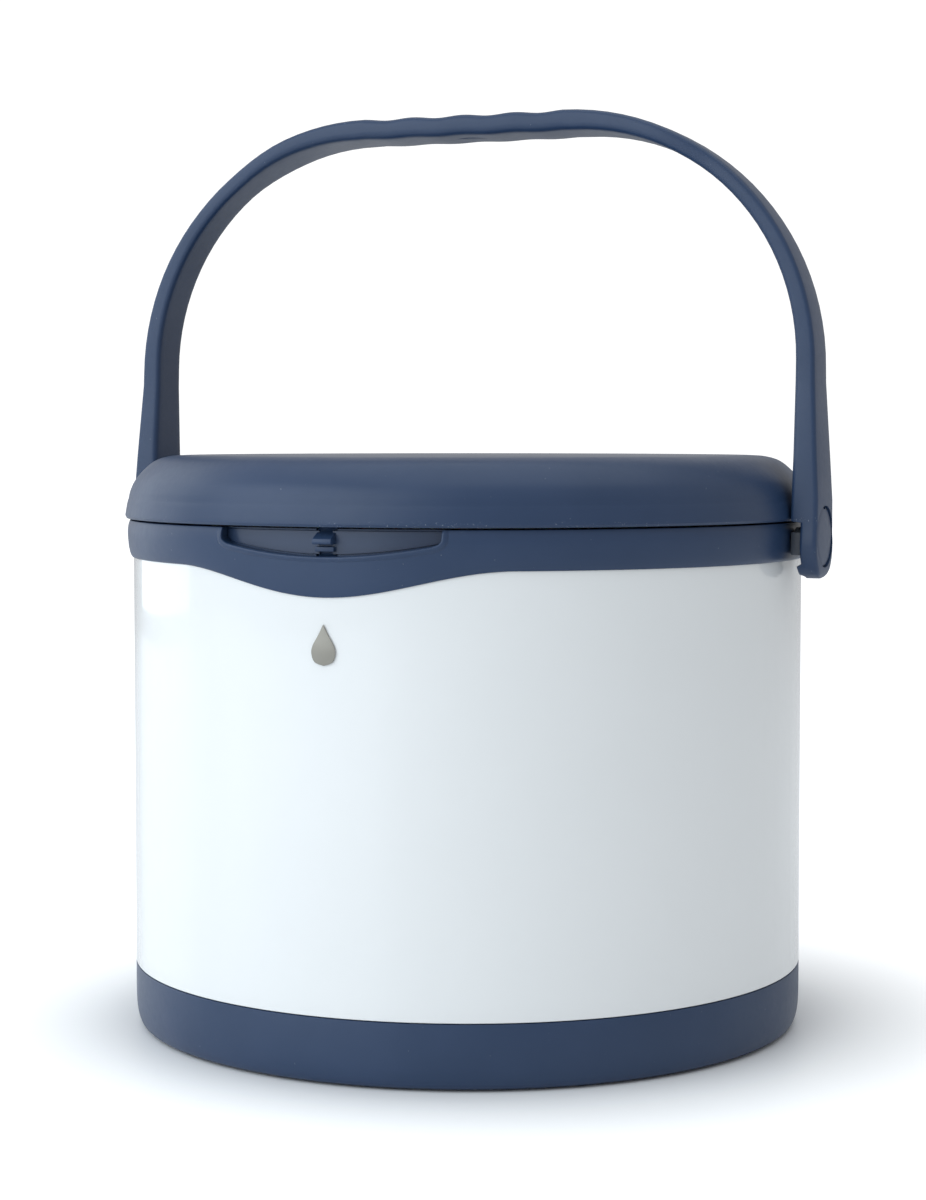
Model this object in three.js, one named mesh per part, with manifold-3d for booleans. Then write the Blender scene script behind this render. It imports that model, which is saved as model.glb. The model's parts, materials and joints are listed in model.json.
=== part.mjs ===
// Insulated yogurt maker: a double-walled steel vessel with a hinged, latched lid and a swinging carry handle.
// Millimetres, +Z up. The origin is the centre of the anti-slip pad's underside and the front faces -Y.

import * as THREE from 'three';
import { mergeVertices } from 'three/addons/utils/BufferGeometryUtils.js';
import Module from 'manifold-3d';

const wasm = await Module();
wasm.setup();

// ---- driving dimensions ---------------------------------------------------------------------------------
const GAP = 0.3; // clearance between neighbouring pieces
const FINE = 60; // facets around the large rings
const COARSE = 36; // facets around the inner rings

const BODY_RADIUS = 130;
const BASE_TOP = 24.3;
const SHELL_BOTTOM = BASE_TOP + GAP;
const SHELL_TOP = 184;
const SHEET = 1; // steel sheet thickness

const COLLAR_EDGE = 181.3; // lower edge of the collar's skirt
const COLLAR_DIP = 9.6; // how far the skirt dips at the front
const DIP_HALF_ANGLE = Math.PI / 6;
const COLLAR_TOP = 195.5;
const COLLAR_FLOOR = SHELL_TOP + GAP;
const MOUTH_RADIUS = 111.5;
const SEAT_RADIUS = 117.2; // outer edge of the gasket's seat
const SEAT_LEVEL = 193;

const LID_BOTTOM = 196.8;
const LID_TOP = 220.3;
const LID_CEILING = 215.8;
const PLATE_RADIUS = 108;
const BOSS_RADIUS = 109.3; // circle of the lid's screws

const LINER_RADIUS = 108; // outside of the vessel's inner wall
const LINER_FLOOR = 32;
const POT_RADIUS = 101;
const POT_RIM = 176;

const HINGE_Y = 138;
const HINGE_Z = 196;
const BARREL_RADIUS = 4.5;
const LUG_INNER = 15; // |x| span of the collar's two hinge lugs
const LUG_OUTER = 24;

const PIVOT_Z = 190.4; // handle pivot axis, along X
const HANDLE_LEAN = THREE.MathUtils.degToRad(1.8); // the handle rests just past upright, towards the back
const HUB_RADIUS = 12.8; // rounded end of each handle arm
const HUB_DROP = 2.9; // the round end's centre below the pivot
const HOOK_INNER = 135.4; // inward lip at the arm's lower tip
const CAP_RADIUS = 11.2;
const ARM_INNER = 133.6;
const ARM_OUTER = 141;
const HUB_OUTER = 143.6;
const POCKET = 137.3; // |x| of the arm's inner face beside the collar
const POCKET_TOP = 195.6;
const GRIP_PITCH = 21.3; // one finger wave
const GRIP_WAVE = 0.5;

const RECESS_RADIUS = 127.5; // face of the finger recess's panel
const CATCH_PIVOT_Y = -124.9;
const CATCH_PIVOT_Z = 187.7;

// ---- materials ------------------------------------------------------------------------------------------
const finish = (color, roughness, metalness = 0) =>
  new THREE.MeshStandardMaterial({ color, roughness, metalness });
const bluePlastic = finish(0x4d6180, 0.42);
const whiteEnamel = finish(0xeef0ef, 0.12);
const steel = finish(0xb9bcbe, 0.3, 1);
const rubber = finish(0x2a2d31, 0.85);
const silicone = finish(0xd9dcd8, 0.6);
const foam = finish(0xe9e4d4, 0.95);
const greyPlastic = finish(0x363f4d, 0.5);
const markGrey = finish(0x96948c, 0.45);

// ---- geometry helpers -----------------------------------------------------------------------------------
/** Merges a geometry's shared corners, drops flat triangles and turns its faces outwards. */
function closed(geometry) {
  const bare = geometry.clone();
  bare.deleteAttribute('normal');
  bare.deleteAttribute('uv');
  const merged = mergeVertices(bare, 1e-4);
  const position = merged.getAttribute('position');
  const kept = [];
  let volume = 0;
  const corner = [new THREE.Vector3(), new THREE.Vector3(), new THREE.Vector3()];
  for (let i = 0; i < merged.index.count; i += 3) {
    const ids = [0, 1, 2].map((k) => merged.index.getX(i + k));
    if (new Set(ids).size < 3) continue;
    ids.forEach((id, k) => corner[k].fromBufferAttribute(position, id));
    volume += corner[0].dot(corner[1].clone().cross(corner[2]));
    kept.push(...ids);
  }
  if (volume < 0) kept.reverse();
  merged.setIndex(kept);
  return merged;
}

/** A manifold solid from a closed geometry. */
function solid(geometry) {
  const shape = closed(geometry);
  return new wasm.Manifold(
    new wasm.Mesh({
      numProp: 3,
      vertProperties: new Float32Array(shape.getAttribute('position').array),
      triVerts: new Uint32Array(shape.index.array),
    }),
  );
}

/** A geometry from a manifold solid. */
function surface(body) {
  const mesh = body.getMesh();
  const geometry = new THREE.BufferGeometry();
  geometry.setAttribute('position', new THREE.BufferAttribute(new Float32Array(mesh.vertProperties), 3));
  geometry.setIndex(new THREE.BufferAttribute(new Uint32Array(mesh.triVerts), 1));
  return geometry;
}

const join = (...bodies) => bodies.reduce((all, next) => all.add(next));
const cut = (body, ...tools) => tools.reduce((rest, tool) => rest.subtract(tool), body);

/** A solid of revolution about Z from [radius, height] pairs; an outline off the axis closes on itself. */
function revolve(outline, facets) {
  const points = outline.map(([radius, height]) => new THREE.Vector2(radius, height));
  if (outline[0][0] > 0) points.push(points[0].clone());
  return new THREE.LatheGeometry(points, facets).rotateX(Math.PI / 2);
}

/** A shape drawn in X and Z, extruded from y0 to y1. */
function alongY(shape, y0, y1, curveSegments = 8) {
  const depth = y1 - y0;
  const geometry = new THREE.ExtrudeGeometry(shape, { depth, bevelEnabled: false, curveSegments });
  return geometry.rotateX(Math.PI / 2).translate(0, y1, 0);
}

/** A shape drawn in Y and Z, extruded from x0 to x1. */
function alongX(shape, x0, x1, curveSegments = 8) {
  const depth = x1 - x0;
  const geometry = new THREE.ExtrudeGeometry(shape, { depth, bevelEnabled: false, curveSegments });
  const turn = new THREE.Matrix4().makeBasis(
    new THREE.Vector3(0, 1, 0),
    new THREE.Vector3(0, 0, 1),
    new THREE.Vector3(1, 0, 0),
  );
  return geometry.applyMatrix4(turn).translate(x0, 0, 0);
}

function box(x0, x1, y0, y1, z0, z1) {
  const block = new THREE.BoxGeometry(x1 - x0, y1 - y0, z1 - z0);
  return block.translate((x0 + x1) / 2, (y0 + y1) / 2, (z0 + z1) / 2);
}

function postZ(radius, x, y, z0, z1, facets = 12) {
  const post = new THREE.CylinderGeometry(radius, radius, z1 - z0, facets);
  return post.rotateX(Math.PI / 2).translate(x, y, (z0 + z1) / 2);
}

function rodX(radius, x0, x1, y, z, facets = 16) {
  const rod = new THREE.CylinderGeometry(radius, radius, x1 - x0, facets);
  return rod.rotateZ(Math.PI / 2).translate((x0 + x1) / 2, y, z);
}

function polygon(points) {
  return new THREE.Shape(points.map(([across, up]) => new THREE.Vector2(across, up)));
}

/** A span of |x| as [low, high] on the left (side -1) or the right (side 1). */
const beside = (side, near, far) => (side > 0 ? [near, far] : [-far, -near]);

/** Positions of count points on a circle, the first at an angle in degrees from +X. */
function ring(radius, count, firstDegrees) {
  return Array.from({ length: count }, (_, i) => {
    const angle = THREE.MathUtils.degToRad(firstDegrees + (360 * i) / count);
    return [radius * Math.cos(angle), radius * Math.sin(angle)];
  });
}

/** A pan-head screw along Z with its head at z0 and its shank reaching up (or down, for a negative length). */
function screwZ(x, y, z0, headRadius, headHeight, shankRadius, length) {
  const up = Math.sign(length);
  const headEnd = z0 + up * headHeight;
  const tip = headEnd + up * Math.abs(length);
  const head = solid(postZ(headRadius, x, y, Math.min(z0, headEnd), Math.max(z0, headEnd)));
  const overlap = headEnd - up * 0.4;
  const shank = solid(postZ(shankRadius, x, y, Math.min(overlap, tip), Math.max(overlap, tip), 8));
  return join(head, shank);
}

function part(name, geometry, material) {
  const mesh = new THREE.Mesh(geometry, material);
  mesh.name = name;
  return mesh;
}

function group(...children) {
  const made = new THREE.Group();
  made.add(...children);
  return made;
}

// ---- base -----------------------------------------------------------------------------------------------
const BASE_SCREWS = ring(112, 3, 90);
const PAD_RADIUS = 98;
const PAD_HEIGHT = 3;

function antiSlipPad() {
  const outline = [[0, 0], [PAD_RADIUS - 1, 0], [PAD_RADIUS, 1], [PAD_RADIUS, PAD_HEIGHT], [0, PAD_HEIGHT]];
  return part('anti_slip_pad', closed(revolve(outline, COARSE)), rubber);
}

function baseCup() {
  const recess = PAD_RADIUS + 0.8;
  const outline = [
    [0, PAD_HEIGHT + GAP], [recess, PAD_HEIGHT + GAP], [recess, 0.6], [126.7, 0.6], [128.85, 3.1],
    [129.8, 7.4], [BODY_RADIUS, 12], [BODY_RADIUS, BASE_TOP], [128.6, BASE_TOP], [128.6, 29], [126.4, 29],
    [126.4, 8], [123.4, 5.8], [0, 5.8],
  ];
  let cup = solid(revolve(outline, FINE));
  for (const [x, y] of BASE_SCREWS) {
    const boss = solid(postZ(5, x, y, 5, 24));
    const hole = solid(postZ(2.1, x, y, 0, 25));
    const counterbore = solid(postZ(4.2, x, y, 0, 4));
    cup = cut(join(cup, boss), hole, counterbore);
  }
  return part('base_cup', surface(cup), bluePlastic);
}

const baseScrews = () =>
  BASE_SCREWS.map(([x, y], i) => {
    const screw = screwZ(x, y, 1.6, 3.6, 2, 1.6, 22);
    return part(`base_screw_${i + 1}`, surface(screw), steel);
  });

// ---- vessel ---------------------------------------------------------------------------------------------
function outerShell() {
  const neck = SEAT_RADIUS + 0.9;
  const inside = BODY_RADIUS - SHEET;
  const outline = [
    [BODY_RADIUS, SHELL_BOTTOM], [BODY_RADIUS, SHELL_TOP], [neck, SHELL_TOP], [neck, SHELL_TOP - SHEET],
    [inside, SHELL_TOP - SHEET], [inside, SHELL_BOTTOM],
  ];
  return part('outer_shell', closed(revolve(outline, FINE)), whiteEnamel);
}

function shellBottom() {
  const wide = BODY_RADIUS - SHEET - 0.7;
  const outline = [
    [0, 29.4], [wide - 1, 29.4], [wide - 1, 32], [wide, 32], [wide, 30.4 + 3], [wide - 2, 30.4 + 3],
    [wide - 2, 30.4], [0, 30.4],
  ];
  const plate = solid(revolve(outline, COARSE));
  const holes = BASE_SCREWS.map(([x, y]) => solid(postZ(2, x, y, 29, 31)));
  const seal = solid(postZ(3.4, 0, 0, 29, 31, 16));
  return part('shell_bottom', surface(cut(plate, ...holes, seal)), steel);
}

function vacuumSeal() {
  const outline = [[0, 27.6], [5.2, 27.6], [6, 28.4], [6, 29.1], [3, 29.1], [3, 30.6], [0, 30.6]];
  return part('vacuum_seal', closed(revolve(outline, 16)), steel);
}

function innerLiner() {
  const wall = LINER_RADIUS - SHEET;
  const lip = SEAT_RADIUS + 0.5;
  const outline = [
    [0, LINER_FLOOR], [LINER_RADIUS - 8, LINER_FLOOR], [LINER_RADIUS, LINER_FLOOR + 8],
    [LINER_RADIUS, SHELL_TOP - SHEET], [lip, SHELL_TOP - SHEET], [lip, SHELL_TOP], [wall, SHELL_TOP],
    [wall, LINER_FLOOR + 8.5], [LINER_RADIUS - 8.5, LINER_FLOOR + SHEET], [0, LINER_FLOOR + SHEET],
  ];
  return part('inner_liner', closed(revolve(outline, COARSE)), steel);
}

function innerPot() {
  const low = LINER_FLOOR + SHEET + GAP;
  const wall = POT_RADIUS - 0.9;
  const outline = [
    [0, low], [POT_RADIUS - 10, low], [POT_RADIUS, low + 10], [POT_RADIUS, POT_RIM - 1.4],
    [POT_RADIUS + 2.2, POT_RIM - 1.4], [POT_RADIUS + 2.2, POT_RIM], [wall, POT_RIM],
    [wall, low + 10.6], [POT_RADIUS - 10.6, low + 0.9], [0, low + 0.9],
  ];
  return part('inner_pot', closed(revolve(outline, COARSE)), steel);
}

/** A bent-strap lifting ear on the pot's wall; side is +1 or -1 along X. */
function potEar(name, side) {
  const outer = POT_RADIUS + 4.6;
  const strap = polygon([[-20, 152], [20, 152], [20, 183], [-20, 183]]);
  strap.holes.push(polygon([[-14, 164], [14, 164], [14, 179], [-14, 179]]));
  const plate = solid(alongX(strap, ...beside(side, POT_RADIUS - 6, outer + 2)));
  const band = (inner, wide, top) => solid(revolve([[inner, 150], [wide, 150], [wide, top], [inner, top]], COARSE));
  const loop = band(POT_RADIUS + 2.9, outer, 184);
  const foot = band(POT_RADIUS + GAP, outer - 0.4, 160);
  return part(name, surface(join(loop, foot).intersect(plate)), steel);
}

// ---- collar ---------------------------------------------------------------------------------------------
/** Height of the skirt's lower edge at an angle from the front. */
function skirtEdge(angle) {
  if (Math.abs(angle) >= DIP_HALF_ANGLE) return COLLAR_EDGE;
  return COLLAR_EDGE - COLLAR_DIP * Math.cos(3 * angle) ** 2;
}

function collarRing() {
  const outline = [
    [130.8, COLLAR_EDGE], [131.6, 185], [132.25, 190.5], [131.8, COLLAR_TOP], [SEAT_RADIUS, COLLAR_TOP],
    [SEAT_RADIUS, SEAT_LEVEL], [MOUTH_RADIUS, SEAT_LEVEL], [MOUTH_RADIUS, COLLAR_FLOOR],
    [BODY_RADIUS + 0.28, COLLAR_FLOOR], [BODY_RADIUS + 0.28, COLLAR_EDGE],
  ];
  const geometry = revolve(outline, FINE);
  const position = geometry.getAttribute('position');
  for (let i = 0; i < position.count; i += 1) {
    if (Math.abs(position.getZ(i) - COLLAR_EDGE) > 0.01) continue;
    position.setZ(i, skirtEdge(Math.atan2(position.getX(i), -position.getY(i))));
  }
  return solid(geometry);
}

/** Outline of the finger recess in X and Z, grown outwards by a margin. */
function recessOutline(margin) {
  const half = 42.5 + margin;
  const top = COLLAR_TOP + 3;
  const shoulder = 190.2 - margin;
  const bottom = 185.7 - margin;
  const shape = new THREE.Shape();
  shape.moveTo(-half, top);
  shape.lineTo(-half, shoulder + 2);
  shape.quadraticCurveTo(-half, shoulder, -half + 4, shoulder - 0.8);
  shape.quadraticCurveTo(-18, bottom, 0, bottom);
  shape.quadraticCurveTo(18, bottom, half - 4, shoulder - 0.8);
  shape.quadraticCurveTo(half, shoulder, half, shoulder + 2);
  shape.lineTo(half, top);
  shape.closePath();
  return shape;
}

function recessCutter() {
  const core = revolve([[0, 180], [RECESS_RADIUS, 180], [RECESS_RADIUS, 200], [0, 200]], FINE);
  return cut(solid(alongY(recessOutline(0), -140, -100, 5)), solid(core));
}

function recessBead() {
  const band = revolve([[130.9, 183], [133, 183.4], [133, COLLAR_TOP - 0.4], [130.9, COLLAR_TOP - 0.4]], FINE);
  const outside = solid(alongY(recessOutline(1.7), -140, -100, 5));
  const frame = cut(outside, solid(alongY(recessOutline(0), -141, -99, 5)));
  return solid(band).intersect(frame);
}

const COLLAR_SCREWS = ring(124.4, 4, 45);

function collar() {
  let body = join(collarRing(), recessBead());
  for (const side of [-1, 1]) {
    const [x0, x1] = beside(side, LUG_INNER, LUG_OUTER);
    const arm = solid(box(x0, x1, 126, HINGE_Y + 2.6, 186.5, 195.4));
    const barrel = solid(rodX(BARREL_RADIUS, x0, x1, HINGE_Y, HINGE_Z));
    const pivotSocket = solid(rodX(2, ...beside(side, 120, 134), 0, PIVOT_Z));
    body = cut(join(body, arm, barrel), pivotSocket);
  }
  const hingeBore = solid(rodX(2, -30, 30, HINGE_Y, HINGE_Z));
  const catchSlot = solid(box(-4.1, 4.1, -128.4, -118.6, 185, 197));
  const catchBore = solid(rodX(1.35, -9.2, 9.2, CATCH_PIVOT_Y, CATCH_PIVOT_Z));
  const screwHoles = COLLAR_SCREWS.flatMap(([x, y]) => [
    solid(postZ(1.9, x, y, 184, 196)),
    solid(postZ(3.6, x, y, 192.6, 196)),
  ]);
  const finished = cut(body, recessCutter(), hingeBore, catchSlot, catchBore, ...screwHoles);
  return part('collar', surface(finished), bluePlastic);
}

const collarScrews = () =>
  COLLAR_SCREWS.map(([x, y], i) => {
    const screw = screwZ(x, y, 195.2, 3.1, 2.2, 1.5, -8.3);
    return part(`collar_screw_${i + 1}`, surface(screw), steel);
  });

function hingePin() {
  const shank = solid(rodX(1.6, -25.4, 25.4, HINGE_Y, HINGE_Z));
  const head = solid(rodX(2.9, 24.4, 26.2, HINGE_Y, HINGE_Z));
  return part('hinge_pin', surface(join(shank, head)), steel);
}

// ---- latch ----------------------------------------------------------------------------------------------
function latchCatch() {
  const side = polygon([
    [-127, 186.8], [-127, 187.6], [-129.6, 187.6], [-129.6, 189.3], [-127.8, 189.4], [-127.8, 190.2],
    [-131.6, 190.2], [-132, 190.9], [-131.8, 192.1], [-127, 194.8], [-126.2, 196.2], [-124.9, 198],
    [-124.6, 200.5], [-127.6, 200.5], [-127.7, 201.2], [-125.2, 203], [-122.6, 203], [-122.4, 190],
    [-122.6, 186.8],
  ]);
  const lever = solid(alongX(side, -3.6, 3.6));
  const boss = solid(rodX(2.4, -3.6, 3.6, CATCH_PIVOT_Y, CATCH_PIVOT_Z));
  const bore = solid(rodX(1.35, -5, 5, CATCH_PIVOT_Y, CATCH_PIVOT_Z));
  return part('latch_catch', surface(cut(join(lever, boss), bore)), bluePlastic);
}

function latchPin() {
  return part('latch_pin', closed(rodX(1, -8.9, 8.9, CATCH_PIVOT_Y, CATCH_PIVOT_Z, 12)), steel);
}

/** A coil spring between the catch and the back of its slot. */
function latchSpring() {
  class Helix extends THREE.Curve {
    getPoint(t, target = new THREE.Vector3()) {
      const angle = t * 4 * 2 * Math.PI;
      return target.set(1.5 * Math.cos(angle), -121.7 + 2.4 * t, 192.4 + 1.5 * Math.sin(angle));
    }
  }
  const wire = new THREE.Shape();
  wire.absarc(0, 0, 0.25, 0, 2 * Math.PI);
  const options = { steps: 28, extrudePath: new Helix(), curveSegments: 3, bevelEnabled: false };
  return part('latch_spring', closed(new THREE.ExtrudeGeometry(wire, options)), steel);
}

// ---- lid ------------------------------------------------------------------------------------------------
const LID_SCREWS = ring(BOSS_RADIUS, 4, 45);

function lidShell() {
  const outline = [
    [0, 218.2], [PLATE_RADIUS + 0.5, 218.2], [PLATE_RADIUS + 0.5, LID_TOP], [112, 220.2], [116, 219.9],
    [121.1, 218.4], [125.3, 215.3], [129.5, 210.6], [132, 204.4], [133.1, 198.2], [133.2, LID_BOTTOM],
    [130.9, LID_BOTTOM], [129.7, 204], [126.5, 210], [121, 214.5], [115, LID_CEILING], [0, LID_CEILING],
  ];
  let shell = solid(revolve(outline, FINE));
  for (const [x, y] of LID_SCREWS) {
    const boss = solid(postZ(3.6, x, y, 198.4, LID_CEILING + 1));
    shell = cut(join(shell, boss), solid(postZ(1.8, x, y, 198, 212)));
  }
  const barrel = solid(rodX(BARREL_RADIUS, 0.4 - LUG_INNER, LUG_INNER - 0.4, HINGE_Y, HINGE_Z));
  const arm = solid(box(0.4 - LUG_INNER, LUG_INNER - 0.4, 129, HINGE_Y, LID_BOTTOM, 200.4));
  const bore = solid(rodX(2, -30, 30, HINGE_Y, HINGE_Z));
  return part('lid_shell', surface(cut(join(shell, barrel, arm), bore)), bluePlastic);
}

function lidTopPlate() {
  const low = 218.2 + GAP;
  const outline = [
    [0, low], [PLATE_RADIUS, low], [PLATE_RADIUS, LID_TOP - 0.4], [PLATE_RADIUS - 0.5, LID_TOP], [0, LID_TOP],
  ];
  return part('lid_top_plate', closed(revolve(outline, FINE)), bluePlastic);
}

function lidInsulation() {
  const outline = [[0, 188.5], [96.6, 188.5], [102, 191.5], [104, 198.5], [104, 215.4], [0, 215.4]];
  return part('lid_insulation', closed(revolve(outline, COARSE)), foam);
}

function lidLiner() {
  const outline = [
    [0, 187.1], [97.6, 187.1], [103.2, 190.4], [105.4, 197], [SEAT_RADIUS - 0.2, 197], [SEAT_RADIUS - 0.2, 198],
    [104.6, 198], [102.4, 191], [97.2, 188.1], [0, 188.1],
  ];
  const dish = solid(revolve(outline, COARSE));
  const holes = LID_SCREWS.map(([x, y]) => solid(postZ(1.9, x, y, 196, 199)));
  return part('lid_liner', surface(cut(dish, ...holes)), steel);
}

const lidScrews = () =>
  LID_SCREWS.map(([x, y], i) => {
    const screw = screwZ(x, y, 195, 2.5, 1.7, 1.5, 13);
    return part(`lid_screw_${i + 1}`, surface(screw), steel);
  });

function lidGasket() {
  const outline = [
    [112.3, 196.7], [112.3, 194.6], [113.4, 193.3], [114.4, 194.4], [115.4, 193.3], [116.7, 194.6], [116.7, 196.7],
  ];
  return part('lid_gasket', closed(revolve(outline, COARSE)), silicone);
}

function latchKeeper() {
  const side = polygon([[-129, 199], [-125.2, 199], [-125.2, 200.2], [-128, 200.2], [-128, 204], [-129, 204]]);
  return part('latch_keeper', closed(alongX(side, -6.5, 6.5)), steel);
}

// ---- carry handle, drawn about its own pivot axis ---------------------------------------------------------
const wave = (x) => GRIP_WAVE * Math.cos((2 * Math.PI * x) / GRIP_PITCH);
const above = (z) => z - PIVOT_Z;

/** The arch in X and Z, heights measured from the pivot axis. */
function archOutline() {
  const gripHalf = 2 * GRIP_PITCH;
  const steps = 24;
  const low = -HUB_DROP - HUB_RADIUS - 2; // the round end's own outline cuts this off
  const shape = new THREE.Shape();
  shape.moveTo(HUB_OUTER, low + 3.5);
  shape.lineTo(HUB_OUTER, above(204));
  shape.lineTo(142.3, above(226));
  shape.lineTo(ARM_OUTER, above(250));
  shape.absarc(41.5, above(253), 99.5, 0, Math.PI / 2, false);
  for (let i = 0; i <= steps; i += 1) {
    const x = gripHalf - (2 * gripHalf * i) / steps;
    shape.lineTo(Math.sign(x) * Math.min(Math.abs(x), 41.4), above(352.2) + wave(x));
  }
  shape.absarc(-41.5, above(253), 99.5, Math.PI / 2, Math.PI, false);
  shape.lineTo(-ARM_OUTER, above(250));
  shape.lineTo(-142.3, above(226));
  shape.lineTo(-HUB_OUTER, above(204));
  shape.lineTo(-HUB_OUTER, low + 3.5);
  shape.lineTo(-140.4, low);
  shape.lineTo(-POCKET, low);
  shape.lineTo(-POCKET, low + 2.5);
  shape.lineTo(-HOOK_INNER, low + 3.5);
  shape.lineTo(-HOOK_INNER, low + 6.6);
  shape.lineTo(-POCKET, low + 7.6);
  shape.lineTo(-POCKET, above(POCKET_TOP));
  shape.lineTo(-ARM_INNER, above(POCKET_TOP));
  shape.lineTo(-ARM_INNER, above(255.9));
  shape.absarc(-46, above(255.9), 87.6, Math.PI, Math.PI / 2, true);
  for (let i = 0; i <= steps; i += 1) {
    const x = -gripHalf + (2 * gripHalf * i) / steps;
    shape.lineTo(x, above(343.6) + wave(x));
  }
  shape.absarc(46, above(255.9), 87.6, Math.PI / 2, 0, true);
  shape.lineTo(ARM_INNER, above(POCKET_TOP));
  shape.lineTo(POCKET, above(POCKET_TOP));
  shape.lineTo(POCKET, low + 7.6);
  shape.lineTo(HOOK_INNER, low + 6.6);
  shape.lineTo(HOOK_INNER, low + 3.5);
  shape.lineTo(POCKET, low + 2.5);
  shape.lineTo(POCKET, low);
  shape.lineTo(140.4, low);
  shape.closePath();
  return shape;
}

/** The handle's width from the side: a round hub, slim arms and a wider grip. */
function handleSide() {
  const halves = [[11, 222], [9.3, 248], [9.3, 330], [12.2, 341], [12.2, 356]];
  const shape = new THREE.Shape();
  const [start, end] = [160, 380].map((degrees) => THREE.MathUtils.degToRad(degrees));
  shape.absarc(0, -HUB_DROP, HUB_RADIUS, start, end, false);
  halves.forEach(([half, z]) => shape.lineTo(half, above(z)));
  halves.reverse().forEach(([half, z]) => shape.lineTo(-half, above(z)));
  shape.closePath();
  return shape;
}

function carryHandle() {
  const arch = solid(alongY(archOutline(), -14, 14, 14));
  let handle = arch.intersect(solid(alongX(handleSide(), -150, 150, 20)));
  for (const side of [-1, 1]) {
    const bore = solid(rodX(2.2, ...beside(side, 130, 145), 0, 0));
    const counterbore = solid(rodX(4.7, ...beside(side, 139.2, 145), 0, 0));
    const capRecess = solid(rodX(CAP_RADIUS + GAP, ...beside(side, 141.4, 145), 0, 0, 32));
    handle = cut(handle, bore, counterbore, capRecess);
  }
  return part('carry_handle', surface(handle), bluePlastic);
}

function pivotCap(name, side) {
  return part(name, closed(rodX(CAP_RADIUS, ...beside(side, 141.7, 143.4), 0, 0, 32)), bluePlastic);
}

function pivotScrew(name, side) {
  const shank = solid(rodX(1.7, ...beside(side, 121, 140), 0, PIVOT_Z));
  const head = solid(rodX(4.2, ...beside(side, 139.5, 141.3), 0, PIVOT_Z));
  return part(name, surface(join(shank, head)), steel);
}

/** A washer between arm and collar; its tongue keys it to the arm, with which it turns. */
function hubWasher(name, side) {
  const [x0, x1] = beside(side, 132.7, 136.9);
  const hub = solid(rodX(3.4, x0, x1, 0, 0));
  const tongue = solid(box(x0, x1, -4.2, 4.2, -7.1, 0.5));
  const bore = solid(rodX(2.1, x0 - 1, x1 + 1, 0, 0));
  return part(name, surface(cut(join(hub, tongue), bore)), greyPlastic);
}

// ---- mark on the front of the body ------------------------------------------------------------------------
function bodyMark() {
  const drop = new THREE.Shape();
  drop.moveTo(0, 162.5);
  drop.bezierCurveTo(1.2, 159, 4.6, 156, 4.6, 152.6);
  drop.bezierCurveTo(4.6, 149.6, 2.4, 148, 0, 148);
  drop.bezierCurveTo(-2.4, 148, -4.6, 149.6, -4.6, 152.6);
  drop.bezierCurveTo(-4.6, 156, -1.2, 159, 0, 162.5);
  const plate = alongY(drop, -BODY_RADIUS - 0.7, -BODY_RADIUS - 0.3, 5);
  return part('body_mark', closed(plate), markGrey);
}

// ---- assembly -------------------------------------------------------------------------------------------
const base = group(antiSlipPad(), baseCup(), ...baseScrews());
const vessel = group(outerShell(), shellBottom(), vacuumSeal(), innerLiner(), bodyMark());
const pot = group(innerPot(), potEar('pot_ear_left', -1), potEar('pot_ear_right', 1));
const pivots = group(pivotScrew('pivot_screw_left', -1), pivotScrew('pivot_screw_right', 1));
const neck = group(collar(), ...collarScrews(), hingePin(), pivots);
const latch = group(latchCatch(), latchPin(), latchSpring());
const lid = group(
  lidShell(), lidTopPlate(), lidInsulation(), lidLiner(), ...lidScrews(), lidGasket(), latchKeeper(),
);
const caps = group(pivotCap('pivot_cap_left', -1), pivotCap('pivot_cap_right', 1));
const washers = group(hubWasher('hub_washer_left', -1), hubWasher('hub_washer_right', 1));
const handle = group(carryHandle(), caps, washers);
handle.position.z = PIVOT_Z;
handle.rotation.x = -HANDLE_LEAN;

export default group(base, vessel, pot, neck, latch, lid, handle);
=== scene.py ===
"""Insulated yogurt maker: fine surfaces, finishes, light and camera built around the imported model.

Sizes in the classes are millimetres in the model's own frame, +Z up, with the front facing -Y. Every mesh is scaled
to metres when it is finished.
"""

from __future__ import annotations

import json
import logging
import math
from collections.abc import Iterable, Sequence
from dataclasses import dataclass
from enum import Enum

import bmesh
import bpy
from mathutils import Matrix, Vector

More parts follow.
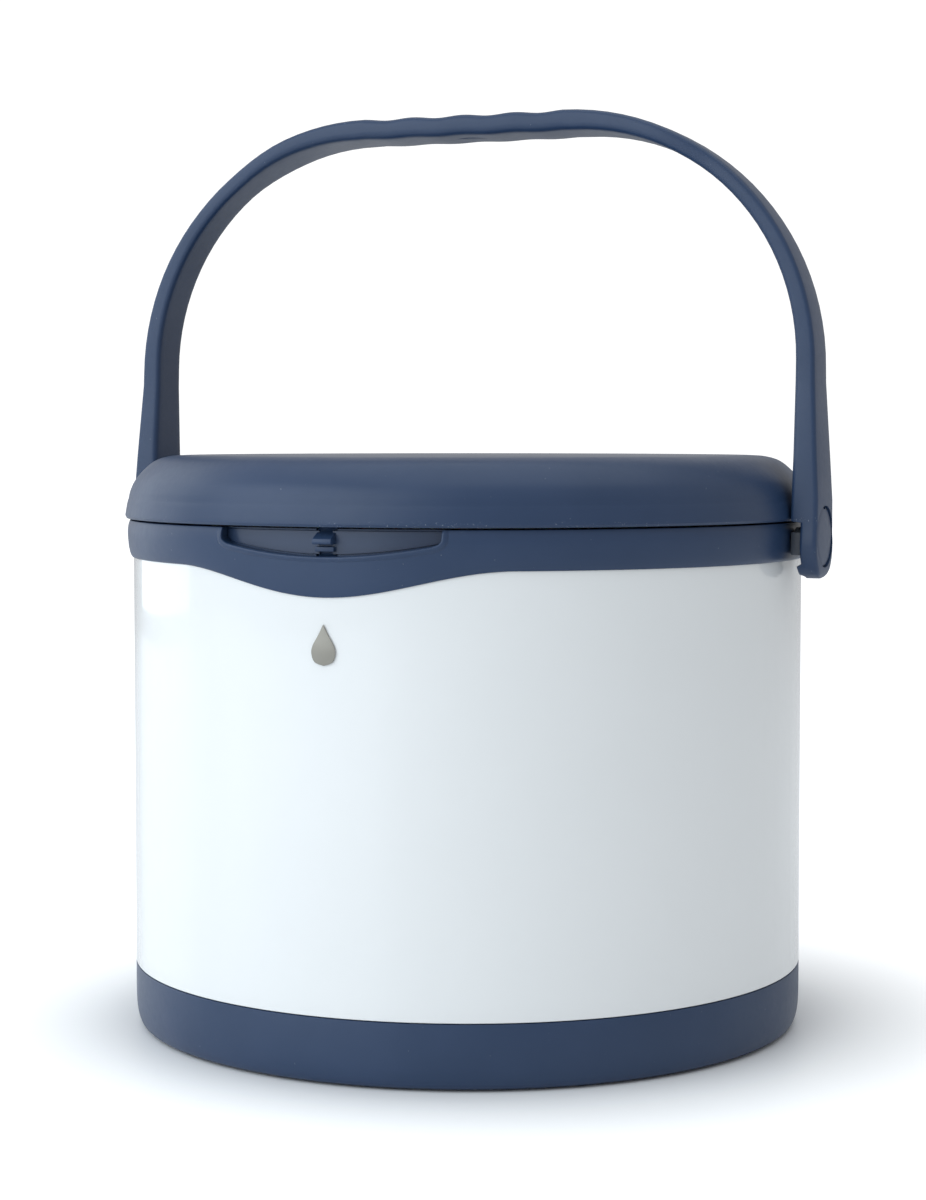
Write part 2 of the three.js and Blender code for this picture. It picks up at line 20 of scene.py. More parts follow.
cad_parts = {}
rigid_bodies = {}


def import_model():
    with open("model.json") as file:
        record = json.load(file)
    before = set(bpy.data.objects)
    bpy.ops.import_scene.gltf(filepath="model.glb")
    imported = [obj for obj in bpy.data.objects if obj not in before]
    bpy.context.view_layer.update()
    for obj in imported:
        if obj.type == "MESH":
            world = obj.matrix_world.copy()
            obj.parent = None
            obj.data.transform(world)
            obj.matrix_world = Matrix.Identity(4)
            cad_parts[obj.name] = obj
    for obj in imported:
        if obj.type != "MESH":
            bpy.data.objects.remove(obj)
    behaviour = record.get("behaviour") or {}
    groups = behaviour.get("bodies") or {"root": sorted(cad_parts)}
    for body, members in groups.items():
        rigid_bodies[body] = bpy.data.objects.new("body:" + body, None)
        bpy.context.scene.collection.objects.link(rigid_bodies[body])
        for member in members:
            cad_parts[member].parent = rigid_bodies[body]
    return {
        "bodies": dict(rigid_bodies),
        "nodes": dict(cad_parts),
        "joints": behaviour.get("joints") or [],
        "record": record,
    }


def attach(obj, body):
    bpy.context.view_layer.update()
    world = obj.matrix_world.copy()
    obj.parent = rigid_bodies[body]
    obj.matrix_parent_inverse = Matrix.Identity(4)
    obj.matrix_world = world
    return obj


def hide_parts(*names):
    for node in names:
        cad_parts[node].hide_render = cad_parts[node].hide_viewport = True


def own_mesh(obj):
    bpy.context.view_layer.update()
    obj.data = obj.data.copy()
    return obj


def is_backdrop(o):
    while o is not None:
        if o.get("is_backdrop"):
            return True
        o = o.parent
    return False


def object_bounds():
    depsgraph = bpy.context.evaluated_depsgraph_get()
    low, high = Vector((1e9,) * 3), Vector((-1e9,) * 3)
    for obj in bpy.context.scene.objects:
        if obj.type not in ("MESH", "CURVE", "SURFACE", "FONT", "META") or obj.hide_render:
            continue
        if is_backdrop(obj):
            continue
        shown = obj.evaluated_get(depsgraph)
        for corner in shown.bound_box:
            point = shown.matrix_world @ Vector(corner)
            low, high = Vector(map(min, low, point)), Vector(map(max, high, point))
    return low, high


log = logging.getLogger("yogurt_maker")

MM = 0.001
FULL_TURN = 2 * math.pi
MERGE_DISTANCE = 1e-3
CREASE_DEGREES = 32.0
HINGE_Y = 138.0
HINGE_Z = 196.0
SIDES = (("left", -1), ("right", 1))
WORN_TONE = (0.22, 0.26, 0.32, 1)
Point = tuple[float, float]


class Body(Enum):
    """The moving bodies that pieces ride on."""

    ROOT = "root"
    LID = "lid"
    HANDLE = "carry_handle"
    CATCH = "latch_catch"


class Slot(Enum):
    """The finishes, named as the record's material slots."""

    BLUE = "blue_plastic"
    LID_PLATE = "lid_plate"
    ENAMEL = "white_enamel"
    STEEL = "steel"
    POT_STEEL = "pot_steel"
    FASTENER = "fastener_steel"
    RUBBER = "pad_rubber"
    SILICONE = "silicone"
    FOAM = "foam"
    DARK = "dark_plastic"
    MARK = "mark_grey"


# ---- outlines -------------------------------------------------------------------------------------------------


def lerp(a: float, b: float, t: float) -> float:
    """The value a share t of the way from a to b."""
    return a + (b - a) * t


def ease(a: float, b: float, x: float) -> float:
    """A smooth step from 0 at a to 1 at b."""
    t = min(max((x - a) / (b - a), 0.0), 1.0)
    return t * t * (3 - 2 * t)


def table(points: Sequence[Point], x: float) -> float:
    """Reads a value off a short table.

    Args:
        points: (x, value) pairs in rising order of x.
        x: Where to read.

    Returns:
        The value at x, straight between two points and level past the ends.
    """
    if x <= points[0][0]:
        return points[0][1]
    for (x0, v0), (x1, v1) in zip(points, points[1:]):
        if x <= x1:
            return lerp(v0, v1, (x - x0) / (x1 - x0))
    return points[-1][1]


def through(points: Sequence[Point], per_span: int = 5) -> list[Point]:
    """Draws a smooth curve through a few points.

    Args:
        points: The points that the curve passes, in order.
        per_span: How many points each span is divided into.

    Returns:
        The curve's points, ends included.
    """
    padded = [points[0], *points, points[-1]]
    curve: list[Point] = []
    for p0, p1, p2, p3 in zip(padded, padded[1:], padded[2:], padded[3:]):
        for step in range(per_span):
            t = step / per_span
            curve.append(
                tuple(
                    0.5 * (2 * b + (c - a) * t + (2 * a - 5 * b + 4 * c - d) * t**2 + (3 * b - a - 3 * c + d) * t**3)
                    for a, b, c, d in zip(p0, p1, p2, p3)
                )
            )
    return [*curve, points[-1]]


def rounded(points: Sequence[tuple[float, float, float]], segments: int = 4, closed: bool = True) -> list[Point]:
    """Rounds the corners of an outline.

    Args:
        points: (x, y, radius) corners in order.
        segments: Divisions of each rounded corner.
        closed: Whether the last corner joins the first.

    Returns:
        The outline's points.
    """
    outline: list[Point] = []
    count = len(points)
    for i, (x, y, radius) in enumerate(points):
        corner = Vector((x, y))
        if radius <= 0 or (not closed and i in (0, count - 1)):
            outline.append((x, y))
            continue
        before = Vector(points[i - 1][:2]) - corner
        after = Vector(points[(i + 1) % count][:2]) - corner
        half = before.angle(after) / 2
        reach = min(radius / math.tan(half), before.length * 0.49, after.length * 0.49)
        start = corner + before.normalized() * reach
        end = corner + after.normalized() * reach
        for step in range(segments + 1):
            t = step / segments
            point = start.lerp(corner, t).lerp(corner.lerp(end, t), t)
            outline.append((point.x, point.y))
    return outline


# ---- mesh making ----------------------------------------------------------------------------------------------


def mark_edges(bm: bmesh.types.BMesh, crease: float) -> None:
    """Shades a mesh smooth and keeps its sharp edges.

    Args:
        bm: The mesh.
        crease: Edges that bend by more than this many degrees stay sharp.
    """
    for face in bm.faces:
        face.smooth = True
    for edge in bm.edges:
        edge.smooth = edge.calc_face_angle(0.0) < math.radians(crease)


def finish_mesh(name: str, bm: bmesh.types.BMesh, crease: float = CREASE_DEGREES) -> bpy.types.Object:
    """Turns a bmesh in millimetres into a smooth-shaded object in metres at the origin.

    Args:
        name: The piece's name.
        bm: The mesh, which is freed.
        crease: Edges that bend by more than this many degrees stay sharp.

    Returns:
        The new object, linked to the scene.
    """
    bmesh.ops.remove_doubles(bm, verts=bm.verts, dist=MERGE_DISTANCE)
    bmesh.ops.recalc_face_normals(bm, faces=bm.faces)
    bmesh.ops.scale(bm, vec=(MM, MM, MM), verts=bm.verts)
    mark_edges(bm, crease)
    mesh = bpy.data.meshes.new(name)
    bm.to_mesh(mesh)
    bm.free()
    piece = bpy.data.objects.new(name, mesh)
    bpy.context.scene.collection.objects.link(piece)
    return piece


def spin_outline(
    bm: bmesh.types.BMesh, outline: Sequence[Point], steps: int = 160, closed: bool = True
) -> list[bmesh.types.BMVert]:
    """Spins an outline of (radius, height) points a full turn about Z.

    Args:
        bm: Where to add the surface.
        outline: Points in order; one that starts and ends on the axis isn't closed.
        steps: Divisions around.
        closed: Whether the last point joins the first.

    Returns:
        The vertices that were added.
    """
    before = set(bm.verts)
    verts = [bm.verts.new((radius, 0.0, height)) for radius, height in outline]
    edges = [bm.edges.new(pair) for pair in zip(verts, verts[1:])]
    if closed:
        edges.append(bm.edges.new((verts[-1], verts[0])))
    bmesh.ops.spin(
        bm, geom=[*verts, *edges], cent=(0, 0, 0), axis=(0, 0, 1), angle=FULL_TURN, steps=steps, use_merge=True
    )
    added = [v for v in bm.verts if v not in before]
    bmesh.ops.remove_doubles(bm, verts=added, dist=MERGE_DISTANCE)
    return [v for v in bm.verts if v not in before]


def spun(name: str, outline: Sequence[Point], steps: int = 160, closed: bool = True) -> bpy.types.Object:
    """A finished piece spun from one outline.

    Args:
        name: The piece's name.
        outline: (radius, height) points in order.
        steps: Divisions around.
        closed: Whether the last point joins the first.

    Returns:
        The piece.
    """
    bm = bmesh.new()
    spin_outline(bm, outline, steps, closed)
    return finish_mesh(name, bm)


def add_prism(
    bm: bmesh.types.BMesh, outline: Sequence[Vector], sweep: Vector, bevel: float = 0.0
) -> list[bmesh.types.BMVert]:
    """Extrudes a flat outline and softens its edges.

    Args:
        bm: Where to add the solid.
        outline: Corners of the flat face, in order.
        sweep: The extrusion, from the face to its far side.
        bevel: Width of the softened edges.

    Returns:
        The vertices that were added.
    """
    before = set(bm.verts)
    face = bm.faces.new([bm.verts.new(p) for p in outline])
    extruded = bmesh.ops.extrude_face_region(bm, geom=[face], use_keep_orig=True)
    moved = [g for g in extruded["geom"] if isinstance(g, bmesh.types.BMVert)]
    bmesh.ops.translate(bm, vec=sweep, verts=moved)
    added = [v for v in bm.verts if v not in before]
    faces = {f for v in added for f in v.link_faces}
    bmesh.ops.recalc_face_normals(bm, faces=list(faces))
    if bevel > 0:
        edges = {e for v in added for e in v.link_edges if e.calc_face_angle(0.0) > math.radians(20)}
        bmesh.ops.bevel(
            bm, geom=list(edges), offset=bevel, segments=2, profile=0.5, affect="EDGES", material=-1,
            clamp_overlap=True,
        )
    return [v for v in bm.verts if v not in before]


def add_block(bm: bmesh.types.BMesh, low: Vector, high: Vector, bevel: float) -> list[bmesh.types.BMVert]:
    """A block between two corners with softened edges.

    Args:
        bm: Where to add it.
        low: Its lowest corner.
        high: Its highest corner.
        bevel: Width of the softened edges.

    Returns:
        The vertices that were added.
    """
    corners = [Vector((low.x, low.y, low.z)), Vector((high.x, low.y, low.z))]
    corners += [Vector((high.x, high.y, low.z)), Vector((low.x, high.y, low.z))]
    return add_prism(bm, corners, Vector((0, 0, high.z - low.z)), bevel)


def add_lathe_part(
    bm: bmesh.types.BMesh, outline: Sequence[Point], place: Matrix, steps: int = 32
) -> list[bmesh.types.BMVert]:
    """A small turned solid, spun about Z and then put in place.

    Args:
        bm: Where to add it.
        outline: (radius, height) points that start and end on the axis.
        place: Where it goes.
        steps: Divisions around.

    Returns:
        The vertices that were added.
    """
    added = spin_outline(bm, outline, steps, closed=False)
    bmesh.ops.transform(bm, matrix=place, verts=added)
    return added


def turned(name: str, outline: Sequence[Point], place: Matrix, steps: int = 32) -> bpy.types.Object:
    """A finished turned solid, in place.

    Args:
        name: The solid's name.
        outline: (radius, height) points that start and end on the axis.
        place: Where it goes.
        steps: Divisions around.

    Returns:
        The solid.
    """
    bm = bmesh.new()
    add_lathe_part(bm, outline, place, steps)
    return finish_mesh(name, bm)


def block(name: str, low: Vector, high: Vector, turn: Matrix | None = None) -> bpy.types.Object:
    """A finished block with sharp edges.

    Args:
        name: The block's name.
        low: Its lowest corner.
        high: Its highest corner.
        turn: A turn for the finished block, if any.

    Returns:
        The block.
    """
    bm = bmesh.new()
    add_block(bm, low, high, 0)
    if turn is not None:
        bmesh.ops.transform(bm, matrix=turn, verts=bm.verts)
    return finish_mesh(name, bm)


def hinge_barrel(bm: bmesh.types.BMesh, start: float, length: float) -> None:
    """A barrel of the hinge along +X, with softened ends."""
    outline = [(0, 0), (4.1, 0), (4.5, 0.4), (4.5, length - 0.4), (4.1, length), (0, length)]
    add_lathe_part(bm, outline, along_x(start, HINGE_Y, HINGE_Z), 40)


def along_x(x: float, y: float, z: float, towards: int = 1) -> Matrix:
    """A placement whose turned axis points along X, towards +X or -X."""
    return Matrix.Translation((x, y, z)) @ Matrix.Rotation(towards * math.pi / 2, 4, "Y")


def bridge_rings(bm: bmesh.types.BMesh, rings: Sequence[Sequence[Vector]]) -> None:
    """Skins a row of closed cross-sections and fills the first and last.

    Args:
        bm: Where to add the skin.
        rings: Cross-sections with the same number of points.
    """
    loops = []
    made = []
    for ring in rings:
        verts = [bm.verts.new(p) for p in ring]
        pairs = [*zip(verts, verts[1:]), (verts[-1], verts[0])]
        loops.append([bm.edges.new(pair) for pair in pairs])
        made.append(verts)
    for here, there in zip(loops, loops[1:]):
        bmesh.ops.bridge_loops(bm, edges=[*here, *there])
    bm.faces.new(made[0])
    bm.faces.new(made[-1])


def tube_rings(path: Sequence[Vector], radius: float, sides: int = 12) -> list[list[Vector]]:
    """Round cross-sections along a path, turned as little as possible from one to the next.

    Args:
        path: The points along the middle.
        radius: The tube's radius.
        sides: Points of each section.

    Returns:
        One ring of points for each point of the path.
    """
    rings = []
    side = Vector((0, 0, 1))
    for i, point in enumerate(path):
        ahead = path[min(i + 1, len(path) - 1)]
        behind = path[max(i - 1, 0)]
        tangent = (ahead - behind).normalized()
        side = (side - tangent * side.dot(tangent)).normalized()
        across = tangent.cross(side)
        angles = [FULL_TURN * k / sides for k in range(sides)]
        rings.append([point + (side * math.cos(a) + across * math.sin(a)) * radius for a in angles])
    return rings


def carve(piece: bpy.types.Object, cutters: Iterable[bpy.types.Object]) -> bpy.types.Object:
    """Cuts other solids out of a piece and removes them.

    Args:
        piece: The piece, which keeps its name.
        cutters: The solids to cut out, which are deleted.

    Returns:
        The same piece.
    """
    for cutter in cutters:
        modifier = piece.modifiers.new("carve", "BOOLEAN")
        modifier.operation = "DIFFERENCE"
        modifier.solver = "EXACT"
        modifier.object = cutter
        bpy.context.view_layer.update()
        evaluated = piece.evaluated_get(bpy.context.evaluated_depsgraph_get())
        cut_mesh = bpy.data.meshes.new_from_object(evaluated)
        piece.modifiers.clear()
        old = piece.data
        piece.data = cut_mesh
        piece.data.name = piece.name
        bpy.data.meshes.remove(old)
        bpy.data.objects.remove(cutter)
    sharpen(piece)
    return piece


def sharpen(piece: bpy.types.Object) -> None:
    """Marks the sharp edges of a piece again after it was cut.

    Args:
        piece: The piece that was cut.
    """
    bm = bmesh.new()
    bm.from_mesh(piece.data)
    bmesh.ops.remove_doubles(bm, verts=bm.verts, dist=MERGE_DISTANCE * MM)
    bmesh.ops.dissolve_degenerate(bm, edges=bm.edges, dist=MERGE_DISTANCE * MM)
    mark_edges(bm, CREASE_DEGREES)
    bm.to_mesh(piece.data)
    bm.free()


def circle_places(radius: float, count: int, first_degrees: float) -> list[Point]:
    """Centres of parts spread evenly on a circle, the first at an angle from +X."""
    angles = [math.radians(first_degrees + 360 * i / count) for i in range(count)]
    return [(radius * math.cos(a), radius * math.sin(a)) for a in angles]


# ---- finishes -------------------------------------------------------------------------------------------------

Socket = bpy.types.NodeSocket


def group_tree(name: str, inputs: dict[str, tuple[str, object]], output: tuple[str, str]) -> bpy.types.NodeTree:
    """Starts a shader node group with named sockets.

    Args:
        name: The group's name.
        inputs: Socket name to (socket type, default value).
        output: The output socket's (name, type).

    Returns:
        The empty group with its input and output nodes.
    """
    tree = bpy.data.node_groups.new(name, "ShaderNodeTree")
    for socket_name, (kind, default) in inputs.items():
        socket = tree.interface.new_socket(socket_name, in_out="INPUT", socket_type=kind)
        socket.default_value = default
    tree.interface.new_socket(output[0], in_out="OUTPUT", socket_type=output[1])
    tree.nodes.new("NodeGroupInput").name = "in"
    tree.nodes.new("NodeGroupOutput").name = "out"
    return tree


def noise(tree: bpy.types.NodeTree, vector: Socket, scale: Socket | float, detail: float) -> Socket:
    """A noise texture's value in a node tree.

    Args:
        tree: The node tree.
        vector: Where the noise is read.
        scale: Its scale, fixed or linked.
        detail: Its layers of detail.

    Returns:
        The noise's value.
    """
    node = tree.nodes.new("ShaderNodeTexNoise")
    node.inputs["Detail"].default_value = detail
    tree.links.new(vector, node.inputs["Vector"])
    if isinstance(scale, float):
        node.inputs["Scale"].default_value = scale
    else:
        tree.links.new(scale, node.inputs["Scale"])
    return node.outputs["Fac"]


def maths(tree: bpy.types.NodeTree, operation: str, first: Socket | float, second: Socket | float) -> Socket:
    """A math node's result in a node tree.

    Args:
        tree: The node tree.
        operation: The node's operation.
        first: First value, fixed or linked.
        second: Second value, fixed or linked.

    Returns:
        The result.
    """
    node = tree.nodes.new("ShaderNodeMath")
    node.operation = operation
    for socket, value in zip(node.inputs, (first, second)):
        if isinstance(value, (int, float)):
            socket.default_value = value
        else:
            tree.links.new(value, socket)
    return node.outputs[0]


def spread(tree: bpy.types.NodeTree, value: Socket, source: Point, target: Point) -> Socket:
    """Maps a value from one range to another, kept inside the target.

    Args:
        tree: The node tree.
        value: The value to map.
        source: The range that it comes from.
        target: The range that it goes to.

    Returns:
        The mapped value.
    """
    node = tree.nodes.new("ShaderNodeMapRange")
    tree.links.new(value, node.inputs["Value"])
    node.inputs["From Min"].default_value, node.inputs["From Max"].default_value = source
    node.inputs["To Min"].default_value, node.inputs["To Max"].default_value = target
    return node.outputs["Result"]


class Effects:
    """The surface effects that several finishes share, each a node group made once."""

    def __init__(self) -> None:
        """Makes the groups."""
        self.grain = self._grain()
        self.drift = self._drift()
        self.rub = self._rub()
        self.brushing = self._brushing()
        self.scuffs = self._scuffs()

    @staticmethod
    def _object_point(tree: bpy.types.NodeTree) -> Socket:
        """Object coordinates inside a group."""
        return tree.nodes.new("ShaderNodeTexCoord").outputs["Object"]

    def _grain(self) -> bpy.types.NodeTree:
        """Two sizes of moulded grain as a height.

        Returns:
            The node group.
        """
        tree = group_tree("moulded_grain", {"Scale": ("NodeSocketFloat", 900.0)}, ("Height", "NodeSocketFloat"))
        point = self._object_point(tree)
        scale = tree.nodes["in"].outputs["Scale"]
        fine = noise(tree, point, scale, 3.0)
        broad = noise(tree, point, maths(tree, "MULTIPLY", scale, 0.04), 2.0)
        height = maths(tree, "ADD", fine, maths(tree, "MULTIPLY", broad, 1.6))
        tree.links.new(height, tree.nodes["out"].inputs["Height"])
        return tree

    def _drift(self) -> bpy.types.NodeTree:
        """A slow drift between two tones of one colour.

        Returns:
            The node group.
        """
        tree = group_tree(
            "tone_drift",
            {
                "Tone A": ("NodeSocketColor", (0.5, 0.5, 0.5, 1)),
                "Tone B": ("NodeSocketColor", (0.5, 0.5, 0.5, 1)),
                "Scale": ("NodeSocketFloat", 30.0),
            },
            ("Color", "NodeSocketColor"),
        )
        entry = tree.nodes["in"].outputs
        mask = spread(tree, noise(tree, self._object_point(tree), entry["Scale"], 4.0), (0.35, 0.65), (0.0, 1.0))
        mix = tree.nodes.new("ShaderNodeMix")
        mix.data_type = "RGBA"
        tree.links.new(mask, mix.inputs["Factor"])
        tree.links.new(entry["Tone A"], mix.inputs["A"])
        tree.links.new(entry["Tone B"], mix.inputs["B"])
        tree.links.new(mix.outputs["Result"], tree.nodes["out"].inputs["Color"])
        return tree

    def _rub(self) -> bpy.types.NodeTree:
        """Roughness with faint rubbed patches and hairline marks.

        Returns:
            The node group.
        """
        tree = group_tree(
            "rubbed_patches",
            {"Smooth": ("NodeSocketFloat", 0.3), "Rough": ("NodeSocketFloat", 0.4)},
            ("Roughness", "NodeSocketFloat"),
        )
        point = self._object_point(tree)
        patches = noise(tree, point, 24.0, 5.0)
        hairs = noise(tree, point, 420.0, 1.0)
        blend = maths(tree, "ADD", maths(tree, "MULTIPLY", patches, 0.75), maths(tree, "MULTIPLY", hairs, 0.25))
        share = spread(tree, blend, (0.35, 0.65), (0.0, 1.0))
        entry = tree.nodes["in"].outputs
        span = maths(tree, "SUBTRACT", entry["Rough"], entry["Smooth"])
        value = maths(tree, "ADD", entry["Smooth"], maths(tree, "MULTIPLY", span, share))
        tree.links.new(value, tree.nodes["out"].inputs["Roughness"])
        return tree

    def _brushing(self) -> bpy.types.NodeTree:
        """Circular brush lines about Z as a height.

        Returns:
            The node group.
        """
        tree = group_tree("circular_brushing", {"Scale": ("NodeSocketFloat", 2500.0)}, ("Height", "NodeSocketFloat"))
        parts = tree.nodes.new("ShaderNodeSeparateXYZ")
        tree.links.new(self._object_point(tree), parts.inputs[0])
        squares = [maths(tree, "MULTIPLY", parts.outputs[i], parts.outputs[i]) for i in (0, 1)]
        radius = maths(tree, "SQRT", maths(tree, "ADD", *squares), 0.0)
        turn = maths(tree, "MULTIPLY", maths(tree, "ARCTAN2", parts.outputs[1], parts.outputs[0]), 0.004)
        join = tree.nodes.new("ShaderNodeCombineXYZ")
        for i, value in enumerate((radius, parts.outputs[2], turn)):
            tree.links.new(value, join.inputs[i])
        lines = noise(tree, join.outputs[0], tree.nodes["in"].outputs["Scale"], 2.0)
        tree.links.new(lines, tree.nodes["out"].inputs["Height"])
        return tree

    def _scuffs(self) -> bpy.types.NodeTree:
        """A mask of tiny rubbed specks, close together along one level and sparse elsewhere.

        Returns:
            The node group.
        """
        tree = group_tree(
            "edge_scuffs",
            {"Level": ("NodeSocketFloat", 0.197), "Reach": ("NodeSocketFloat", 0.0016)},
            ("Mask", "NodeSocketFloat"),
        )
        point = self._object_point(tree)
        entry = tree.nodes["in"].outputs
        parts = tree.nodes.new("ShaderNodeSeparateXYZ")
        tree.links.new(point, parts.inputs[0])
        away = maths(tree, "ABSOLUTE", maths(tree, "SUBTRACT", parts.outputs[2], entry["Level"]), 0.0)
        band = spread(tree, maths(tree, "DIVIDE", away, entry["Reach"]), (0.0, 1.0), (1.0, 0.0))
        specks = spread(tree, noise(tree, point, 1400.0, 2.0), (0.64, 0.72), (0.0, 1.0))
        patches = spread(tree, noise(tree, point, 60.0, 3.0), (0.48, 0.62), (0.0, 1.0))
        rare = spread(tree, noise(tree, point, 700.0, 1.0), (0.78, 0.83), (0.0, 0.35))
        rubbed = maths(tree, "MULTIPLY", maths(tree, "MULTIPLY", specks, patches), band)
        tree.links.new(maths(tree, "MAXIMUM", rubbed, rare), tree.nodes["out"].inputs["Mask"])
        return tree


@dataclass(frozen=True)
class Finish:
    """One finish: two close tones, a roughness range and a grain or brushing."""

    slot: Slot
    tone_a: tuple[float, float, float]
    tone_b: tuple[float, float, float]
    smooth: float
    rough: float
    grain_scale: float = 900.0
    grain_depth: float = 0.00002
    metal: float = 0.0
    coat: float = 0.0
    coat_roughness: float = 0.05
    brushed: bool = False
    drift_scale: float = 30.0
    sheen: float = 0.0
    translucent: float = 0.0
    shine: float = 0.5
    scuffed: bool = False

    def build(self, effects: Effects) -> bpy.types.Material:
        """Makes the material.

        Args:
            effects: The shared node groups.

        Returns:
            The finished material, named after its slot.
        """
        material = bpy.data.materials.new(self.slot.value)
        material.use_nodes = True
        material.diffuse_color = (*self.tone_a, 1.0)
        tree = material.node_tree
        shader = tree.nodes["Principled BSDF"]
        shader.inputs["Metallic"].default_value = self.metal
        shader.inputs["Coat Weight"].default_value = self.coat
        shader.inputs["Coat Roughness"].default_value = self.coat_roughness
        shader.inputs["Specular IOR Level"].default_value = self.shine
        shader.inputs["Sheen Weight"].default_value = self.sheen
        shader.inputs["Subsurface Weight"].default_value = self.translucent
        shader.inputs["Subsurface Scale"].default_value = 0.002
        drift = self._use(tree, effects.drift, {"Scale": self.drift_scale})
        drift.inputs["Tone A"].default_value = (*self.tone_a, 1)
        drift.inputs["Tone B"].default_value = (*self.tone_b, 1)
        tone = drift.outputs["Color"]
        if self.scuffed:
            mask = self._use(tree, effects.scuffs, {}).outputs["Mask"]
            worn = tree.nodes.new("ShaderNodeMix")
            worn.data_type = "RGBA"
            worn.inputs["B"].default_value = WORN_TONE
            tree.links.new(mask, worn.inputs["Factor"])
            tree.links.new(tone, worn.inputs["A"])
            tone = worn.outputs["Result"]
        tree.links.new(tone, shader.inputs["Base Color"])
        rub = self._use(tree, effects.rub, {"Smooth": self.smooth, "Rough": self.rough})
        tree.links.new(rub.outputs["Roughness"], shader.inputs["Roughness"])
        relief = effects.brushing if self.brushed else effects.grain
        height = self._use(tree, relief, {"Scale": self.grain_scale})
        bump = tree.nodes.new("ShaderNodeBump")
        bump.inputs["Strength"].default_value = 1.0
        bump.inputs["Distance"].default_value = self.grain_depth
        tree.links.new(height.outputs["Height"], bump.inputs["Height"])
        tree.links.new(bump.outputs["Normal"], shader.inputs["Normal"])
        return material

    @staticmethod
    def _use(tree: bpy.types.NodeTree, group: bpy.types.NodeTree, values: dict[str, float]) -> bpy.types.Node:
        """Places a node group in a material with its own values.

        Args:
            tree: The material's node tree.
            group: The group to place.
            values: Input name to value.

        Returns:
            The placed node.
        """
        node = tree.nodes.new("ShaderNodeGroup")
        node.node_tree = group
        for name, value in values.items():
            node.inputs[name].default_value = value
        return node


FINISHES = (
    Finish(
        Slot.BLUE, (0.016, 0.039, 0.094), (0.020, 0.044, 0.103), 0.36, 0.46, 2400.0, 0.000009, shine=0.43, scuffed=True
    ),
    Finish(Slot.LID_PLATE, (0.024, 0.045, 0.096), (0.027, 0.049, 0.104), 0.28, 0.36, 1300.0, 0.000012),
    Finish(
        Slot.ENAMEL, (0.785, 0.81, 0.822), (0.805, 0.828, 0.84), 0.16, 0.24, 120.0, 0.00001,
        coat=1.0, coat_roughness=0.04, drift_scale=8.0,
    ),
    Finish(Slot.STEEL, (0.56, 0.57, 0.58), (0.60, 0.61, 0.62), 0.27, 0.32, 2600.0, 0.000004, metal=1.0, brushed=True),
    Finish(
        Slot.POT_STEEL, (0.62, 0.63, 0.64), (0.67, 0.675, 0.68), 0.22, 0.26, 3200.0, 0.000005, metal=1.0, brushed=True
    ),
    Finish(Slot.FASTENER, (0.45, 0.46, 0.48), (0.55, 0.555, 0.56), 0.25, 0.45, 1500.0, 0.00001, metal=1.0),
    Finish(Slot.RUBBER, (0.018, 0.019, 0.021), (0.026, 0.027, 0.029), 0.62, 0.8, 700.0, 0.00005, sheen=0.15),
    Finish(Slot.SILICONE, (0.62, 0.64, 0.61), (0.68, 0.69, 0.66), 0.4, 0.52, 800.0, 0.00001, translucent=0.25),
    Finish(Slot.FOAM, (0.72, 0.66, 0.5), (0.78, 0.73, 0.58), 0.85, 0.95, 1400.0, 0.0002),
    Finish(Slot.DARK, (0.048, 0.058, 0.078), (0.056, 0.067, 0.088), 0.42, 0.52, 1100.0, 0.00002),
    Finish(Slot.MARK, (0.28, 0.27, 0.24), (0.31, 0.30, 0.27), 0.28, 0.38, 1500.0, 0.00001, metal=0.35),
)


class Workshop:
    """Dresses finished pieces: finish, slot, body and the model nodes they stand for."""

    def __init__(self) -> None:
        """Loads the frame and makes every finish."""
        self.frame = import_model()
        self.start_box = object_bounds()
        effects = Effects()
        self.finishes = {finish.slot: finish.build(effects) for finish in FINISHES}

    def dress(self, piece: bpy.types.Object, slot: Slot, body: Body, *nodes: str) -> bpy.types.Object:
        """Gives a piece its finish and its body.

        Args:
            piece: The finished mesh.
            slot: Its finish.
            body: The body that it rides on.
            nodes: The model's nodes that it stands for.

        Returns:
            The same piece.
        """
        piece.data.materials.clear()
        piece.data.materials.append(self.finishes[slot])
        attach(piece, body.value)
        if nodes:
            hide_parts(*nodes)
        log.info("%s: %s faces on %s", piece.name, len(piece.data.polygons), body.value)
        return piece

    def dress_nodes(self) -> None:
        """Gives the model's own nodes, hidden or shown, the finish of their slot."""
        for row in self.frame["record"]["subparts"]:
            node = self.frame["nodes"][row["node"]]
            node.data.materials.clear()
            node.data.materials.append(self.finishes[Slot(row["material_slot"])])


# ---- screws ---------------------------------------------------------------------------------------------------


